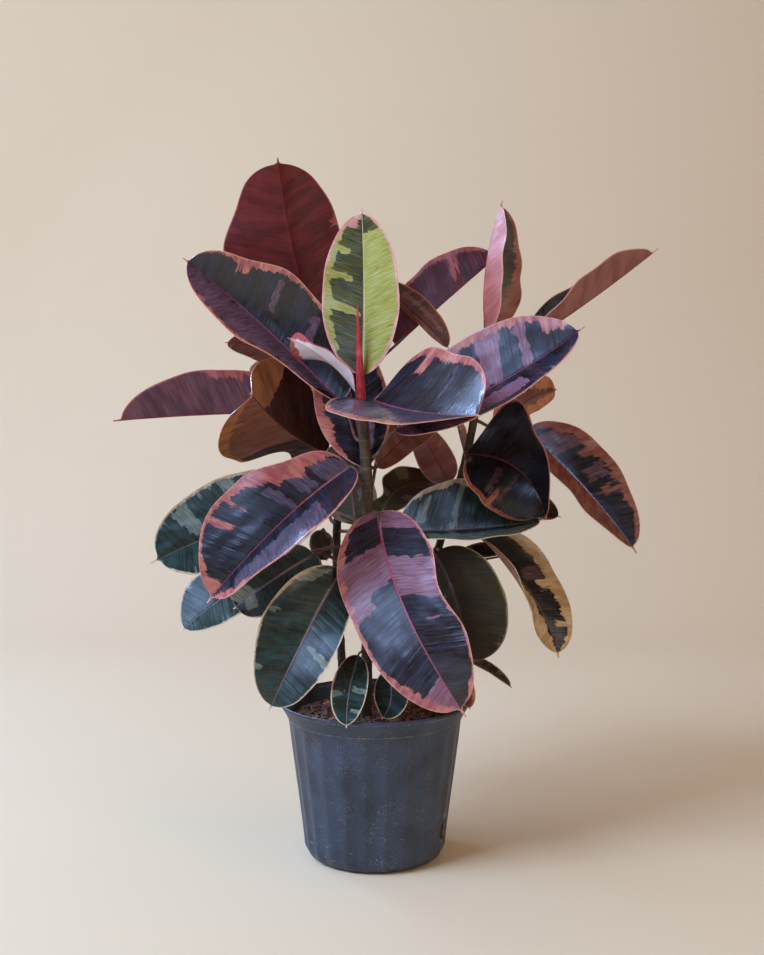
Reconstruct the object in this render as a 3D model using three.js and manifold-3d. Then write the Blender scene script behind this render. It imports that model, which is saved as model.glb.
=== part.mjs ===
// Potted ruby rubber plant (Ficus elastica) in a ribbed blow-moulded nursery pot.
// Millimetres, +Z up. The origin is the centre of the pot's flat bottom.
// X points to the plant's right and Y to its back, as the plant is looked at from the front.

import * as THREE from "three";
import { mergeVertices } from "three/addons/utils/BufferGeometryUtils.js";
import Module from "manifold-3d";

// Driving dimensions: the pot
const POT_HEIGHT = 209;
const RIM_RADIUS = 127; // a 254 mm rim
const RIM_THICKNESS = 4;
const COLLAR_BOTTOM = 187; // height of the line under the smooth collar
const BODY_TOP_RADIUS = 116;
const BODY_LOW_RADIUS = 95.6;
const BODY_LOW_HEIGHT = 26;
const FOOT_RADIUS = 78; // flat bottom
const POT_WALL = 2.2;
const POT_STEPS = 48; // faces round the pot, two to a flute
const FLUTES = 24;
const FLUTE_DEPTH = 2;
const FLUTE_FOOT_SHARE = 0.4; // how much of that depth is left at the foot
const DRAIN_ANGLES = [-20, 160]; // degrees from +X
const DRAIN_WIDTH = 24;
const DRAIN_HEIGHT = 33;
const DRAIN_LEVEL = 43; // height of the holes' middle
const DRAIN_SIDES = 10;

// Driving dimensions: the soil
const SOIL_LEVEL = 188;
const SOIL_BUMP = 2.5;
const SOIL_STEPS = 24;
const CLEARANCE = 0.3; // between pieces that touch

// Driving dimensions: leaves and stems
const BLADE_THICKNESS = 1.4;
const SMALL_BLADE_THICKNESS = 1.2;
const PETIOLE_RADIUS = 2.4;
const SMALL_PETIOLE_RADIUS = 1.5;
const SMALL_WIDTH = 64; // blades narrower than this take fewer faces
const RIB_REACH = 0.1; // share of the blade along which the petiole runs on as the midrib
const SPUR = 0.08; // share of the blade taken by its drip tip
const STEM_SIDES = 12;
const STEM_STEPS = 14;
const HOLE_STEPS = 5;

// The line through each stem, from its bottom in the soil to its top
const STEMS = {
  main: {
    radius: 7.6,
    line: [
      [-12, -4, 96],
      [-11, -3, 230],
      [-10, -2, 343],
      [-9, 0, 464],
      [-12, 0, 530],
      [-17, -1, 606],
    ],
  },
  right: {
    radius: 5.8,
    line: [
      [20, 24, 96],
      [40, 28, 235],
      [60, 30, 322],
      [90, 35, 420],
      [124, 44, 530],
      [136, 48, 589],
      [152, 54, 690],
    ],
  },
  back: {
    radius: 5.8,
    line: [
      [-38, 36, 96],
      [-46, 48, 260],
      [-53, 60, 403],
      [-46, 85, 512],
      [-32, 96, 609],
      [-14, 102, 672],
    ],
  },
};

// The leaves. stem: what carries it. root: height where its petiole leaves the stem, on the side
// given by from (a compass angle) where it does not simply point to the blade.
// neck, belly and tip: the midrib at the blade's base, its middle and its point.
// face: compass angle and elevation of the way its upper side looks. twist: added from base to point.
// fold: how far each half is raised from flat. curl: added towards the edge.
// bulge: where along the blade it is widest. base and point: above 1 slimmer, below 1 fuller.
// left and right: width of each half at a quarter, half and three quarters of the blade.
// tone: ruby where none is given.
const LEAVES = [
  {
    name: "leaf_young_upright", stem: "main", root: 596, from: 75,
    width: 112, face: [-110, 0], fold: 20,
    neck: [-16, 4, 643], belly: [-14, 6, 751], tip: [-17, 0, 862],
    curl: -10, base: 1.2, tone: "young",
  },
  {
    name: "leaf_young_folded", stem: "main", root: 600,
    width: 49.09, face: [38.36, 56.99], fold: [23.5, 7.53],
    neck: [-26, -19, 622], belly: [-62, -39, 661], tip: [-112, -43, 690],
    base: 1.59, bulge: 0.41, point: 0.58, twist: -49.09, left: [1.32, 0.69, 0.43],
    right: [1.68, 1.02, 1.97], curl: [-6.79, 12.72], tone: "young",
  },
  {
    name: "leaf_top_front_right", stem: "main", root: 597,
    width: 182.09, face: [-166.9, 52.72], fold: [13.48, 38.87],
    neck: [-1.11, -14, 608.65], belly: [58.24, -95, 594.81], tip: [125.04, -190, 593],
    bulge: 0.38, base: 0.6, left: [1.07, 0.97, 1.02], twist: -7.65, point: 0.58,
    right: [1.21, 1.11, 1.15], curl: [22.23, -11.96],
  },
  {
    name: "leaf_top_left", stem: "main", root: 556,
    width: 157.55, face: [-61.74, 16.68], fold: [42.46, 33.86],
    neck: [-45, 26, 606], belly: [-162, 24, 720], tip: [-253, 10, 796.46],
    base: 1.09, point: 1.11, left: [0.71, 0.9, 0.9], right: [0.98, 1.02, 0.83], twist: 12.37,
    bulge: 0.44, curl: [-25.04, 22.22],
  },
  {
    name: "leaf_top_right", stem: "main", root: 534,
    width: 148, face: [-112, 34], fold: 32,
    neck: [28, 6, 570], belly: [157, -5, 628], tip: [274, -20, 706],
    left: [1, 1, 1.08],
  },
  {
    name: "leaf_top_behind_stem", stem: "main", root: 517,
    width: 104, face: [-95, 10], fold: 15,
    neck: [-12, 12, 519], belly: [-31, 40, 610], tip: [-54, 70, 719],
    base: 1.7,
  },
  {
    name: "leaf_top_right_under", stem: "main", root: 520,
    width: 78, face: [90, 40], fold: 15,
    neck: [4, 22, 521], belly: [64, 50, 577], tip: [137, 60, 620],
    tone: "maroon",
  },
  {
    name: "leaf_top_back_left", stem: "back", root: 651,
    width: 178.89, face: [110.49, 17.84], fold: [20.14, 0],
    neck: [-85.7, 100, 709.78], belly: [-114.77, 74, 828.89], tip: [-131.2, 58, 936],
    bulge: 0.46, point: 0.98, left: [0.73, 0.84, 0.87], right: [1.22, 1.06, 0.87], twist: -0.72,
    base: 1.15, curl: [-30.56, 10.94], tone: "maroon",
  },
  {
    name: "leaf_left_cupped", stem: "back", root: 533,
    width: 168, face: [129.44, 24.86], fold: [40.39, 32.7],
    neck: [-66, 85, 536], belly: [-118, 25, 569], tip: [-161, -35, 619],
    bulge: 0.42, base: 1.1, point: 0.5, left: [0.91, 1.5, 1.35], right: [0.46, 1, 1.12],
    twist: -21.78, curl: [9.12, -13.18], tone: "maroon",
  },
  {
    name: "leaf_far_left", stem: "back", root: 568,
    width: 134, face: [90, 35], fold: 55,
    neck: [-106, 120, 592], belly: [-232, 110, 589], tip: [-364, 90, 580],
    point: 1.15, tone: "maroon",
  },
  {
    name: "leaf_left_small", stem: "back", root: 595,
    width: 50, face: [90, 40], fold: 10,
    neck: [-104, 103, 648], belly: [-156, 96, 679], tip: [-205, 70, 688],
    tone: "maroon",
  },
  {
    name: "leaf_top_back_right", stem: "back", root: 658,
    width: 112, face: [110, 45], fold: 55,
    neck: [29, 70, 685], belly: [104, 65, 751], tip: [172, 73, 809],
    base: 0.8, tone: "maroon",
  },
  {
    name: "leaf_top_back_hanging", stem: "back", root: 664,
    width: 48, face: [70, 40], fold: 30,
    neck: [10, 39, 764], belly: [58, 26, 722], tip: [100, 16, 677],
    tone: "maroon",
  },
  {
    name: "leaf_right_upright", stem: "right", root: 683,
    width: 98, face: [-26, 0], fold: 48,
    neck: [151, 48, 700], belly: [151, 52, 788], tip: [173, 55, 878],
    base: 0.7, left: [1.15, 1, 1], right: [1.15, 1.05, 1],
  },
  {
    name: "leaf_far_right", stem: "right", root: 676,
    width: 102.42, face: [-164.89, 35.62], fold: [17.81, 48.44],
    neck: [213, 55, 692.21], belly: [292, 50, 744.84], tip: [382, 45, 813],
    twist: 9.64, left: [1.12, 1.04, 1.21], right: [0.82, 1.1, 1.19],
  },
  {
    name: "leaf_right_back", stem: "right", root: 582,
    width: 84, face: [90, 50], fold: 10,
    neck: [165, 65, 575], belly: [210, 75, 608], tip: [252, 75, 624],
    point: 0.7, tone: "maroon",
  },
  {
    name: "leaf_right_cupped", stem: "right", root: 539,
    width: 139.7, face: [-108.47, 47.35], fold: [37.88, 2.55],
    neck: [123, 22, 536], belly: [189, -16, 518], tip: [223, -45, 455],
    base: 1.52, left: [1.42, 0.79, 0.8], twist: -40, right: [1.49, 1.08, 0.96], point: 0.56,
    bulge: 0.47, curl: [40, 13.72],
  },
  {
    name: "leaf_right_drooping", stem: "right", root: 548,
    width: 106.93, face: [-52.34, 5.53], fold: [25.68, 27.82],
    neck: [205.69, 62, 564.8], belly: [279.43, 40, 496], tip: [351.68, 10, 404.7],
    left: [1.11, 1.12, 1.08], twist: 2.67, base: 1.03, point: 0.98, bulge: 0.45,
    right: [0.82, 0.91, 1.46], curl: [-10.93, 3.97],
  },
  {
    name: "leaf_mid_back_right", stem: "right", root: 480,
    width: 52, face: [100, 10], fold: 10,
    neck: [102, 65, 497], belly: [83, 90, 531], tip: [57, 106, 581],
    tone: "maroon",
  },
  {
    name: "leaf_right_stem_small", stem: "right", root: 535,
    width: 40, face: [10, 10], fold: 20,
    neck: [126, 98, 536], belly: [119, 100, 560], tip: [112, 98, 592],
    tone: "maroon",
  },
  {
    name: "leaf_mid_right_back", stem: "right", root: 514,
    width: 60, face: [-90, 50], fold: 10,
    neck: [145, 70, 499], belly: [202, 75, 471], tip: [258, 70, 447],
    tone: "green",
  },
  {
    name: "leaf_low_right_drooping", stem: "right", root: 425,
    width: 134.75, face: [-47.69, 12.87], fold: [8.06, 23.01],
    neck: [141.74, 50, 424.73], belly: [211.97, 35, 346.7], tip: [248, 10, 262],
    wave: 2, left: [1.54, 0.99, 0.88], right: [1.18, 0.86, 1.17], twist: -22.2, base: 1.33,
    point: 1.16, bulge: 0.4, curl: [-20.26, 31.33],
  },
  {
    name: "leaf_low_right_hanging", stem: "right", root: 407,
    width: 135, face: [60, 10], fold: 10,
    neck: [81, -4, 407], belly: [110, -32, 337], tip: [126, -25, 261],
    base: 1.1, point: 0.9, tone: "green",
  },
  {
    name: "leaf_low_right_small", stem: "right", root: 391,
    width: 30, face: [-90, 50], fold: 20,
    neck: [173, 60, 399], belly: [145, 60, 399], tip: [113, 55, 392],
    tone: "green",
  },
  {
    name: "leaf_low_right_narrow", stem: "right", root: 308,
    width: 24, face: [-60, 60], fold: 20,
    neck: [109, 30, 262], belly: [152, 30, 244], tip: [187, 25, 218],
    tone: "green",
  },
  {
    name: "leaf_low_right_sliver", stem: "right", root: 280,
    width: 28, face: [100, 20], fold: 20,
    neck: [98, -14, 256], belly: [116, -38, 235], tip: [124, -53, 208],
    tone: "green",
  },
  {
    name: "leaf_mid_left", stem: "main", root: 500,
    width: 146, face: [-112, 22], fold: 30,
    neck: [-32, -20, 522], belly: [-122, -70, 452], tip: [-212, -90, 354],
    right: [0.85, 1.06, 1.17], base: 1.2, left: [1, 0.92, 0.78],
  },
  {
    name: "leaf_mid_left_back", stem: "main", root: 450,
    width: 144, face: [-96, 20], fold: 20,
    neck: [-67, 27, 460], belly: [-184, 52, 437], tip: [-303, 30, 389],
    point: 0.85, tone: "green",
  },
  {
    name: "leaf_low_left_outer", stem: "main", root: 417,
    width: 80, face: [-90, 35], fold: 15,
    neck: [-119, -14, 398], belly: [-190, -28, 358], tip: [-253, -44, 309],
    right: [1, 1.1, 1.25], tone: "green",
  },
  {
    name: "leaf_low_left_inner", stem: "main", root: 377,
    width: 92, face: [-90, 30], fold: 10,
    neck: [-80, -14, 406], belly: [-133, -52, 377], tip: [-182, -64, 342],
    point: 0.8, right: [0.5, 0.7, 0.9], tone: "green",
  },
  {
    name: "leaf_low_left_front", stem: "main", root: 397,
    width: 112, face: [-85, 15], fold: 10,
    neck: [-44, -40, 388], belly: [-91, -90, 307], tip: [-133, -110, 220],
    left: [0.78, 0.8, 0.84], right: [1.05, 1.08, 1], point: 1.05, base: 1, tone: "green",
  },
  {
    name: "leaf_front_large", stem: "main", root: 461,
    width: 138, face: [-100, 15], fold: 6,
    neck: [4, -14, 462], belly: [37, -85, 348], tip: [115, -110, 212],
    curl: -6, bulge: 0.5, base: 0.8, point: 0.95, left: [0.95, 0.74, 0.95],
    right: [1.08, 0.98, 1.02],
  },
  {
    name: "leaf_mid_right", stem: "main", root: 440,
    width: 138, face: [-90, 52], fold: 33,
    neck: [31, 2, 437], belly: [130, 6, 438], tip: [228, 12, 450],
    tone: "green",
  },
  {
    name: "leaf_mid_back_olive", stem: "main", root: 457,
    width: 80, face: [-90, 50], fold: 10,
    neck: [9, 30, 456], belly: [37, 72, 488], tip: [92, 112, 493],
    left: [0.3, 0.8, 1], tone: "green",
  },
  {
    name: "leaf_low_front_small", stem: "main", root: 276,
    width: 46, face: [-90, 20], fold: 8,
    neck: [-22, -40, 276], belly: [-33, -95, 240], tip: [-35, -142, 207],
    tone: "green",
  },
  {
    name: "leaf_low_front_hanging", stem: "main", root: 262,
    width: 46, face: [-90, 20], fold: 8,
    neck: [16, -30, 255], belly: [21, -60, 226], tip: [9, -90, 205],
    tone: "green",
  },
  {
    name: "leaf_mid_behind_stem", stem: "back", root: 428,
    width: 90, face: [95, 10], fold: 10,
    neck: [-27, 41, 440], belly: [-34, 46, 494], tip: [-57, 41, 555],
    left: [0.8, 0.72, 0.75], tone: "green",
  },
  {
    name: "leaf_low_back_hanging", stem: "back", root: 414,
    width: 34, face: [100, 10], fold: 10,
    neck: [-72, 46, 432], belly: [-72, 44, 412], tip: [-65, 42, 390],
    tone: "green",
  },
  {
    name: "leaf_low_back_small", stem: "back", root: 329,
    width: 34, face: [100, 10], fold: 10,
    neck: [-85, 30, 359], belly: [-88, 35, 384], tip: [-94, 38, 404],
    tone: "green",
  },
  {
    name: "leaf_back_top", stem: "back", root: 640,
    width: 130, face: [100, 55], fold: 12,
    neck: [-24, 128, 662], belly: [-50, 205, 735], tip: [-70, 285, 770],
    tone: "maroon",
  },
  {
    name: "leaf_back_top_right", stem: "back", root: 600, from: 55,
    width: 120, face: [80, 65], fold: 12,
    neck: [20, 118, 590], belly: [95, 180, 632], tip: [160, 245, 635],
  },
  {
    name: "leaf_back_top_left", stem: "back", root: 585,
    width: 130, face: [110, 60], fold: 12,
    neck: [-55, 122, 600], belly: [-115, 195, 635], tip: [-180, 255, 630],
  },
  {
    name: "leaf_back_middle", stem: "main", root: 490, from: 65,
    width: 140, face: [90, 60], fold: 12,
    neck: [10, 110, 560], belly: [26, 190, 565], tip: [42, 268, 520],
  },
  {
    name: "leaf_back_right", stem: "right", root: 455,
    width: 130, face: [70, 55], fold: 12,
    neck: [110, 75, 465], belly: [150, 150, 465], tip: [170, 225, 415],
    tone: "green",
  },
  {
    name: "leaf_back_left", stem: "back", root: 440,
    width: 140, face: [110, 55], fold: 12,
    neck: [-70, 100, 455], belly: [-120, 165, 450], tip: [-185, 225, 395],
    tone: "green",
  },
  {
    name: "leaf_back_low", stem: "main", root: 350,
    width: 112, face: [85, 50], fold: 12,
    neck: [-2, 45, 360], belly: [10, 120, 336], tip: [14, 196, 272],
    tone: "green",
  },
  {
    name: "leaf_back_low_left", stem: "back", root: 330,
    width: 104, face: [115, 45], fold: 12,
    neck: [-62, 85, 335], belly: [-98, 146, 314], tip: [-126, 200, 262],
    tone: "green",
  },
  {
    name: "leaf_back_low_right", stem: "right", root: 320,
    width: 104, face: [55, 45], fold: 12,
    neck: [92, 58, 325], belly: [118, 122, 312], tip: [132, 185, 262],
    tone: "green",
  },
];

// The red sheath round the next leaf, standing on the main stem
const SHEATH_BASE = [-17.5, -2, 606.3];
const SHEATH_TIP = [-23, -9, 737];
const SHEATH_RADIUS = 6.8;

// Colours
const LEAF_COLOURS = { ruby: 0x4d3340, young: 0x87914f, green: 0x3f5a50, maroon: 0x6a3531 };
const STEM_COLOUR = 0x5b5242;
const SHEATH_COLOUR = 0xc0303c;
const POT_COLOUR = 0x39414f;
const SOIL_COLOUR = 0x3a2820;

const wasm = await Module();
wasm.setup();

const rad = THREE.MathUtils.degToRad;
const vec = (p) => new THREE.Vector3(...p);

// A direction from its compass angle and elevation in degrees
function direction(turn, rise) {
  const level = Math.cos(rad(rise));
  return new THREE.Vector3(level * Math.cos(rad(turn)), level * Math.sin(rad(turn)), Math.sin(rad(rise)));
}

// A closed geometry as a solid that can be joined and cut
function solidOf(geometry) {
  const bare = geometry.clone();
  for (const key of Object.keys(bare.attributes)) if (key !== "position") bare.deleteAttribute(key);
  const merged = mergeVertices(bare, 1e-3);
  return new wasm.Manifold(
    new wasm.Mesh({
      numProp: 3,
      vertProperties: merged.attributes.position.array,
      triVerts: new Uint32Array(merged.index.array),
    }),
  );
}

// A solid back as a geometry
function geometryOf(solid) {
  const mesh = solid.getMesh();
  const geometry = new THREE.BufferGeometry();
  geometry.setAttribute("position", new THREE.BufferAttribute(mesh.vertProperties, 3));
  geometry.setIndex(new THREE.BufferAttribute(mesh.triVerts, 1));
  geometry.computeVertexNormals();
  return geometry;
}

// A round bar along a curve
function bar(curve, radius, sides, steps) {
  const section = new THREE.Shape();
  for (let i = 0; i < sides; i++) {
    const a = (2 * Math.PI * i) / sides;
    if (i === 0) section.moveTo(radius, 0);
    else section.lineTo(radius * Math.cos(a), radius * Math.sin(a));
  }
  section.closePath();
  return new THREE.ExtrudeGeometry(section, { extrudePath: curve, steps, curveSegments: 1 });
}

// Stems

const stemCurves = {};
for (const [key, stem] of Object.entries(STEMS)) {
  stemCurves[key] = new THREE.CatmullRomCurve3(stem.line.map(vec), false, "centripetal");
}

// The middle of a stem at a height
function stemAt(key, height) {
  const curve = stemCurves[key];
  let low = 0;
  let high = 1;
  while (high - low > 1e-6) {
    const middle = (low + high) / 2;
    if (curve.getPoint(middle).z < height) low = middle;
    else high = middle;
  }
  return curve.getPoint(low);
}

// Leaf blades

// Share of the half width along the blade, 0 at its base and at its point
function outline(u, leaf) {
  const bend = Math.log(0.5) / Math.log(leaf.bulge ?? 0.47);
  const s = Math.min(1, u / (1 - SPUR / 2)) ** bend;
  const body = Math.sqrt(Math.max(0, 1 - (2 * s - 1) ** 2));
  const shaped = body ** (s < 0.5 ? (leaf.base ?? 1.1) : (leaf.point ?? 1));
  const spur = s > 0.5 ? 0.1 * Math.min(1, (1 - u) / (2.5 * SPUR)) ** 0.9 : 0;
  return Math.hypot(shaped, spur);
}

// Widening or narrowing of one half at a quarter, half and three quarters of the blade
function swell(u, shares = [1, 1, 1]) {
  let factor = 1;
  shares.forEach((share, i) => {
    const off = u - (i + 1) / 4;
    if (Math.abs(off) < 0.25) factor += (share - 1) * Math.cos((Math.PI * off) / 0.5) ** 2;
  });
  return factor;
}

const pair = (value) => (Array.isArray(value) ? value : [value, value]);

// The midrib and the directions across and out of the blade at a place along it
function ribFrame(leaf, u) {
  const neck = vec(leaf.neck);
  const tip = vec(leaf.tip);
  const handle = vec(leaf.belly).multiplyScalar(2);
  handle.addScaledVector(neck, -0.5).addScaledVector(tip, -0.5);
  const point = new THREE.QuadraticBezierCurve3(neck, handle, tip).getPoint(u);
  const along = handle.clone().sub(neck).multiplyScalar(1 - u);
  along.addScaledVector(tip.clone().sub(handle), u).normalize();
  const across = along.clone().cross(direction(...leaf.face)).normalize();
  const up = across.clone().cross(along);
  const twist = rad(leaf.twist ?? 0) * (2 * u - 1);
  const side = across.clone().multiplyScalar(Math.cos(twist)).addScaledVector(up, Math.sin(twist));
  const normal = up.multiplyScalar(Math.cos(twist)).addScaledVector(across, -Math.sin(twist));
  return { point, along, side, normal };
}

// A point of the blade's middle surface at u along it and v across it, -1 to 1, and the way out there
function bladePoint(leaf, frame, u, v) {
  const half = v < 0 ? 0 : 1;
  const reach = leaf.width / 2;
  const width = reach * outline(u, leaf) * swell(u, half ? leaf.right : leaf.left);
  const away = Math.abs(v) * width;
  const fold = rad(pair(leaf.fold)[half]);
  const bend = (rad(pair(leaf.curl ?? 0)[half]) * away) / reach;
  const middle = fold + bend / 2;
  const short = Math.abs(bend) < 1e-4 ? 1 : Math.sin(bend / 2) / (bend / 2);
  const phase = leaf.waves ?? 2;
  const ripple = Math.sin(2 * Math.PI * (phase * u + half / 4)) * Math.sin(Math.PI * u);
  const lift = away * short * Math.sin(middle) + (leaf.wave ?? 0) * v * v * ripple;
  const level = away * short * Math.cos(middle) * (half ? 1 : -1);
  const point = frame.point.clone();
  point.addScaledVector(frame.side, level).addScaledVector(frame.normal, lift);
  const lean = v === 0 ? 0 : (fold + bend) * (half ? -1 : 1);
  const out = frame.normal.clone().multiplyScalar(Math.cos(lean));
  out.addScaledVector(frame.side, Math.sin(lean));
  if (v === 0) out.multiplyScalar(1 / Math.cos(fold));
  return { point, out };
}

// The blade as a closed solid: one grid twice, cut into the same triangles, joined round the rim
function bladeSolid(leaf) {
  const small = leaf.width < SMALL_WIDTH;
  const half = (small ? SMALL_BLADE_THICKNESS : BLADE_THICKNESS) / 2;
  const rows = small ? 6 : 8;
  const columns = small ? 2 : 4;
  const grid = new THREE.PlaneGeometry(2, 1, columns, rows);
  const flat = grid.attributes.position;
  const count = flat.count;
  const places = new Float32Array(count * 6);
  for (let i = 0; i < count; i++) {
    const v = Math.round(flat.getX(i) * columns) / columns;
    const u = (1 - Math.cos(Math.PI * (flat.getY(i) + 0.5))) / 2;
    const { point, out } = bladePoint(leaf, ribFrame(leaf, u), u, v);
    if (u < 1e-6 || u > 1 - 1e-6) out.copy(ribFrame(leaf, u).normal);
    point.clone().addScaledVector(out, half).toArray(places, i * 3);
    point.clone().addScaledVector(out, -half).toArray(places, (count + i) * 3);
  }
  const faces = [];
  const cells = grid.index.array;
  for (let i = 0; i < cells.length; i += 3) {
    faces.push(cells[i], cells[i + 1], cells[i + 2]);
    faces.push(count + cells[i], count + cells[i + 2], count + cells[i + 1]);
  }
  for (let row = 0; row < rows; row++) {
    const a = row * (columns + 1);
    const b = a + columns + 1;
    faces.push(a, count + a, count + b, a, count + b, b);
    const c = a + columns;
    const d = b + columns;
    faces.push(c, d, count + d, c, count + d, count + c);
  }
  const geometry = new THREE.BufferGeometry();
  geometry.setAttribute("position", new THREE.BufferAttribute(places, 3));
  geometry.setIndex(faces);
  const merged = mergeVertices(geometry, 1e-3);
  const kept = [];
  const index = merged.index.array;
  for (let i = 0; i < index.length; i += 3) {
    const [p, q, r] = [index[i], index[i + 1], index[i + 2]];
    if (p !== q && q !== r && r !== p) kept.push(p, q, r);
  }
  merged.setIndex(kept);
  return solidOf(merged);
}

// The leaf's stalk, from the stem's surface into the underside of the midrib
function petioleSolid(leaf) {
  const small = leaf.width < SMALL_WIDTH;
  const radius = small ? SMALL_PETIOLE_RADIUS : PETIOLE_RADIUS;
  const middle = stemAt(leaf.stem, leaf.root);
  const neck = vec(leaf.neck);
  const away = neck.clone().sub(middle).setZ(0).normalize();
  if (leaf.from !== undefined) away.set(Math.cos(rad(leaf.from)), Math.sin(rad(leaf.from)), 0);
  away.projectOnPlane(stemAt(leaf.stem, leaf.root + 3).sub(middle).normalize()).normalize();
  const root = middle.clone().addScaledVector(away, STEMS[leaf.stem].radius + CLEARANCE);
  const length = neck.distanceTo(root);
  const { along } = ribFrame(leaf, 0);
  const out = root.clone().addScaledVector(away, Math.min(14, length * 0.35));
  const back = neck.clone().addScaledVector(along, -length * 0.35);
  const stalk = new THREE.CubicBezierCurve3(root, out, back, neck);
  const line = [0, 0.2, 0.4, 0.6, 0.8, 1].map((t) => stalk.getPoint(t));
  line.splice(1, 0, root.clone().addScaledVector(away, 1.2));
  for (const u of [RIB_REACH / 2, RIB_REACH]) {
    const frame = ribFrame(leaf, u);
    line.push(frame.point.addScaledVector(frame.normal, -radius * 0.55 * (u / RIB_REACH)));
  }
  const curve = new THREE.CatmullRomCurve3(line, false, "centripetal");
  return solidOf(bar(curve, radius, small ? 4 : 5, small ? 5 : 7));
}

// Pot

// Outside of the pot from the middle of the bottom to the rim, as [radius, height]
const potOutside = [
  [0, 0],
  [40, 0],
  [FOOT_RADIUS, 0],
  [FOOT_RADIUS + 8.5, 2.8],
  [FOOT_RADIUS + 13.6, 8.5],
  [BODY_LOW_RADIUS - 1, 16],
  [BODY_LOW_RADIUS, BODY_LOW_HEIGHT],
  [BODY_LOW_RADIUS + 1.2, 36],
  [BODY_TOP_RADIUS - 10, 107],
  [BODY_TOP_RADIUS - 1.4, COLLAR_BOTTOM - 12],
  [BODY_TOP_RADIUS, COLLAR_BOTTOM - 1.5],
  [BODY_TOP_RADIUS + 1, COLLAR_BOTTOM + 0.5],
  [RIM_RADIUS - 1.2, POT_HEIGHT - 5],
  [RIM_RADIUS, POT_HEIGHT - 1.5],
  [RIM_RADIUS - 1, POT_HEIGHT],
];
const potInside = [
  [RIM_RADIUS - RIM_THICKNESS + 1, POT_HEIGHT],
  [RIM_RADIUS - RIM_THICKNESS, POT_HEIGHT - 1.5],
  [RIM_RADIUS - RIM_THICKNESS, POT_HEIGHT - 4.5],
  [BODY_TOP_RADIUS + 1 - POT_WALL, COLLAR_BOTTOM + 0.5],
  [BODY_TOP_RADIUS - 1.4 - POT_WALL, COLLAR_BOTTOM - 12],
  [BODY_TOP_RADIUS - 10 - POT_WALL, 107],
  [BODY_LOW_RADIUS - POT_WALL, BODY_LOW_HEIGHT],
  [BODY_LOW_RADIUS - 1 - POT_WALL, 16.5],
  [FOOT_RADIUS + 12 - POT_WALL, 9.6],
  [FOOT_RADIUS - 1, POT_WALL + 1.6],
  [FOOT_RADIUS - 12, POT_WALL],
  [0, POT_WALL],
];

// Depth of the flutes at a height: shallow at the foot and none on the collar
function fluteDepth(height) {
  const low = THREE.MathUtils.lerp(FLUTE_FOOT_SHARE, 1, THREE.MathUtils.smoothstep(height, 2, 18));
  const high = 1 - THREE.MathUtils.smoothstep(height, COLLAR_BOTTOM - 14, COLLAR_BOTTOM - 1);
  return FLUTE_DEPTH * Math.min(low, high);
}

// A turned shape with its axis up and the pot's flutes pressed into it
function turned(profile, steps) {
  const points = profile.map(([radius, height]) => new THREE.Vector2(radius, height));
  const geometry = new THREE.LatheGeometry(points, steps).rotateX(Math.PI / 2);
  const place = geometry.attributes.position;
  for (let i = 0; i < place.count; i++) {
    const radius = Math.hypot(place.getX(i), place.getY(i));
    if (radius < 60) continue;
    const angle = Math.atan2(place.getY(i), place.getX(i));
    const dent = fluteDepth(place.getZ(i)) * Math.abs(Math.cos((angle * FLUTES) / 2)) ** 1.5;
    const factor = (radius - dent) / radius;
    place.setX(i, place.getX(i) * factor);
    place.setY(i, place.getY(i) * factor);
  }
  return geometry;
}

function potSolid() {
  let pot = solidOf(turned([...potOutside, ...potInside], POT_STEPS));
  for (const angle of DRAIN_ANGLES) {
    const hole = new THREE.CylinderGeometry(0.5, 0.5, 30, DRAIN_SIDES).rotateZ(Math.PI / 2);
    hole.scale(1, DRAIN_WIDTH, DRAIN_HEIGHT).translate(BODY_LOW_RADIUS, 0, DRAIN_LEVEL);
    hole.rotateZ(rad(angle));
    pot = pot.subtract(solidOf(hole));
  }
  return pot;
}

// Soil: it fills the pot to its level, bumpy on top, with a plain hole round each stem
function soilSolid() {
  const gap = CLEARANCE + FLUTE_DEPTH;
  const below = potInside.filter(([radius, height]) => radius > 0 && height < COLLAR_BOTTOM);
  const wall = below.reverse().map(([radius, height]) => [radius - gap, height + CLEARANCE]);
  const edge = BODY_TOP_RADIUS - POT_WALL - gap;
  const top = [1, 0.86, 0.7, 0.52, 0.34, 0.17, 0].map((share) => [share * edge, SOIL_LEVEL]);
  const profile = [[0, POT_WALL + CLEARANCE], ...wall, ...top];
  const points = profile.map(([radius, height]) => new THREE.Vector2(radius, height));
  const geometry = new THREE.LatheGeometry(points, SOIL_STEPS).rotateX(Math.PI / 2);
  const place = geometry.attributes.position;
  for (let i = 0; i < place.count; i++) {
    const [x, y, z] = [place.getX(i), place.getY(i), place.getZ(i)];
    if (z < SOIL_LEVEL - 0.5) continue;
    const swells = Math.sin(x * 0.11 + 1) * Math.cos(y * 0.13);
    const lumps = Math.sin(x * 0.21 - y * 0.19);
    place.setZ(i, z + SOIL_BUMP * (0.62 * swells + 0.38 * lumps));
  }
  let soil = solidOf(geometry);
  for (const [key, stem] of Object.entries(STEMS)) {
    const hole = bar(holeCurve(key), stem.radius + CLEARANCE, STEM_SIDES, HOLE_STEPS);
    soil = soil.subtract(solidOf(hole));
  }
  return soil;
}

// The buried stretch of a stem's line, run on a little past its bottom and out of the soil
function holeCurve(key) {
  const points = stemCurves[key].getPoints(60).filter((p) => p.z < SOIL_LEVEL + 50);
  const down = points[0].clone().sub(points[1]).normalize();
  points.unshift(points[0].clone().addScaledVector(down, CLEARANCE));
  return new THREE.CatmullRomCurve3(points, false, "centripetal");
}

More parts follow.
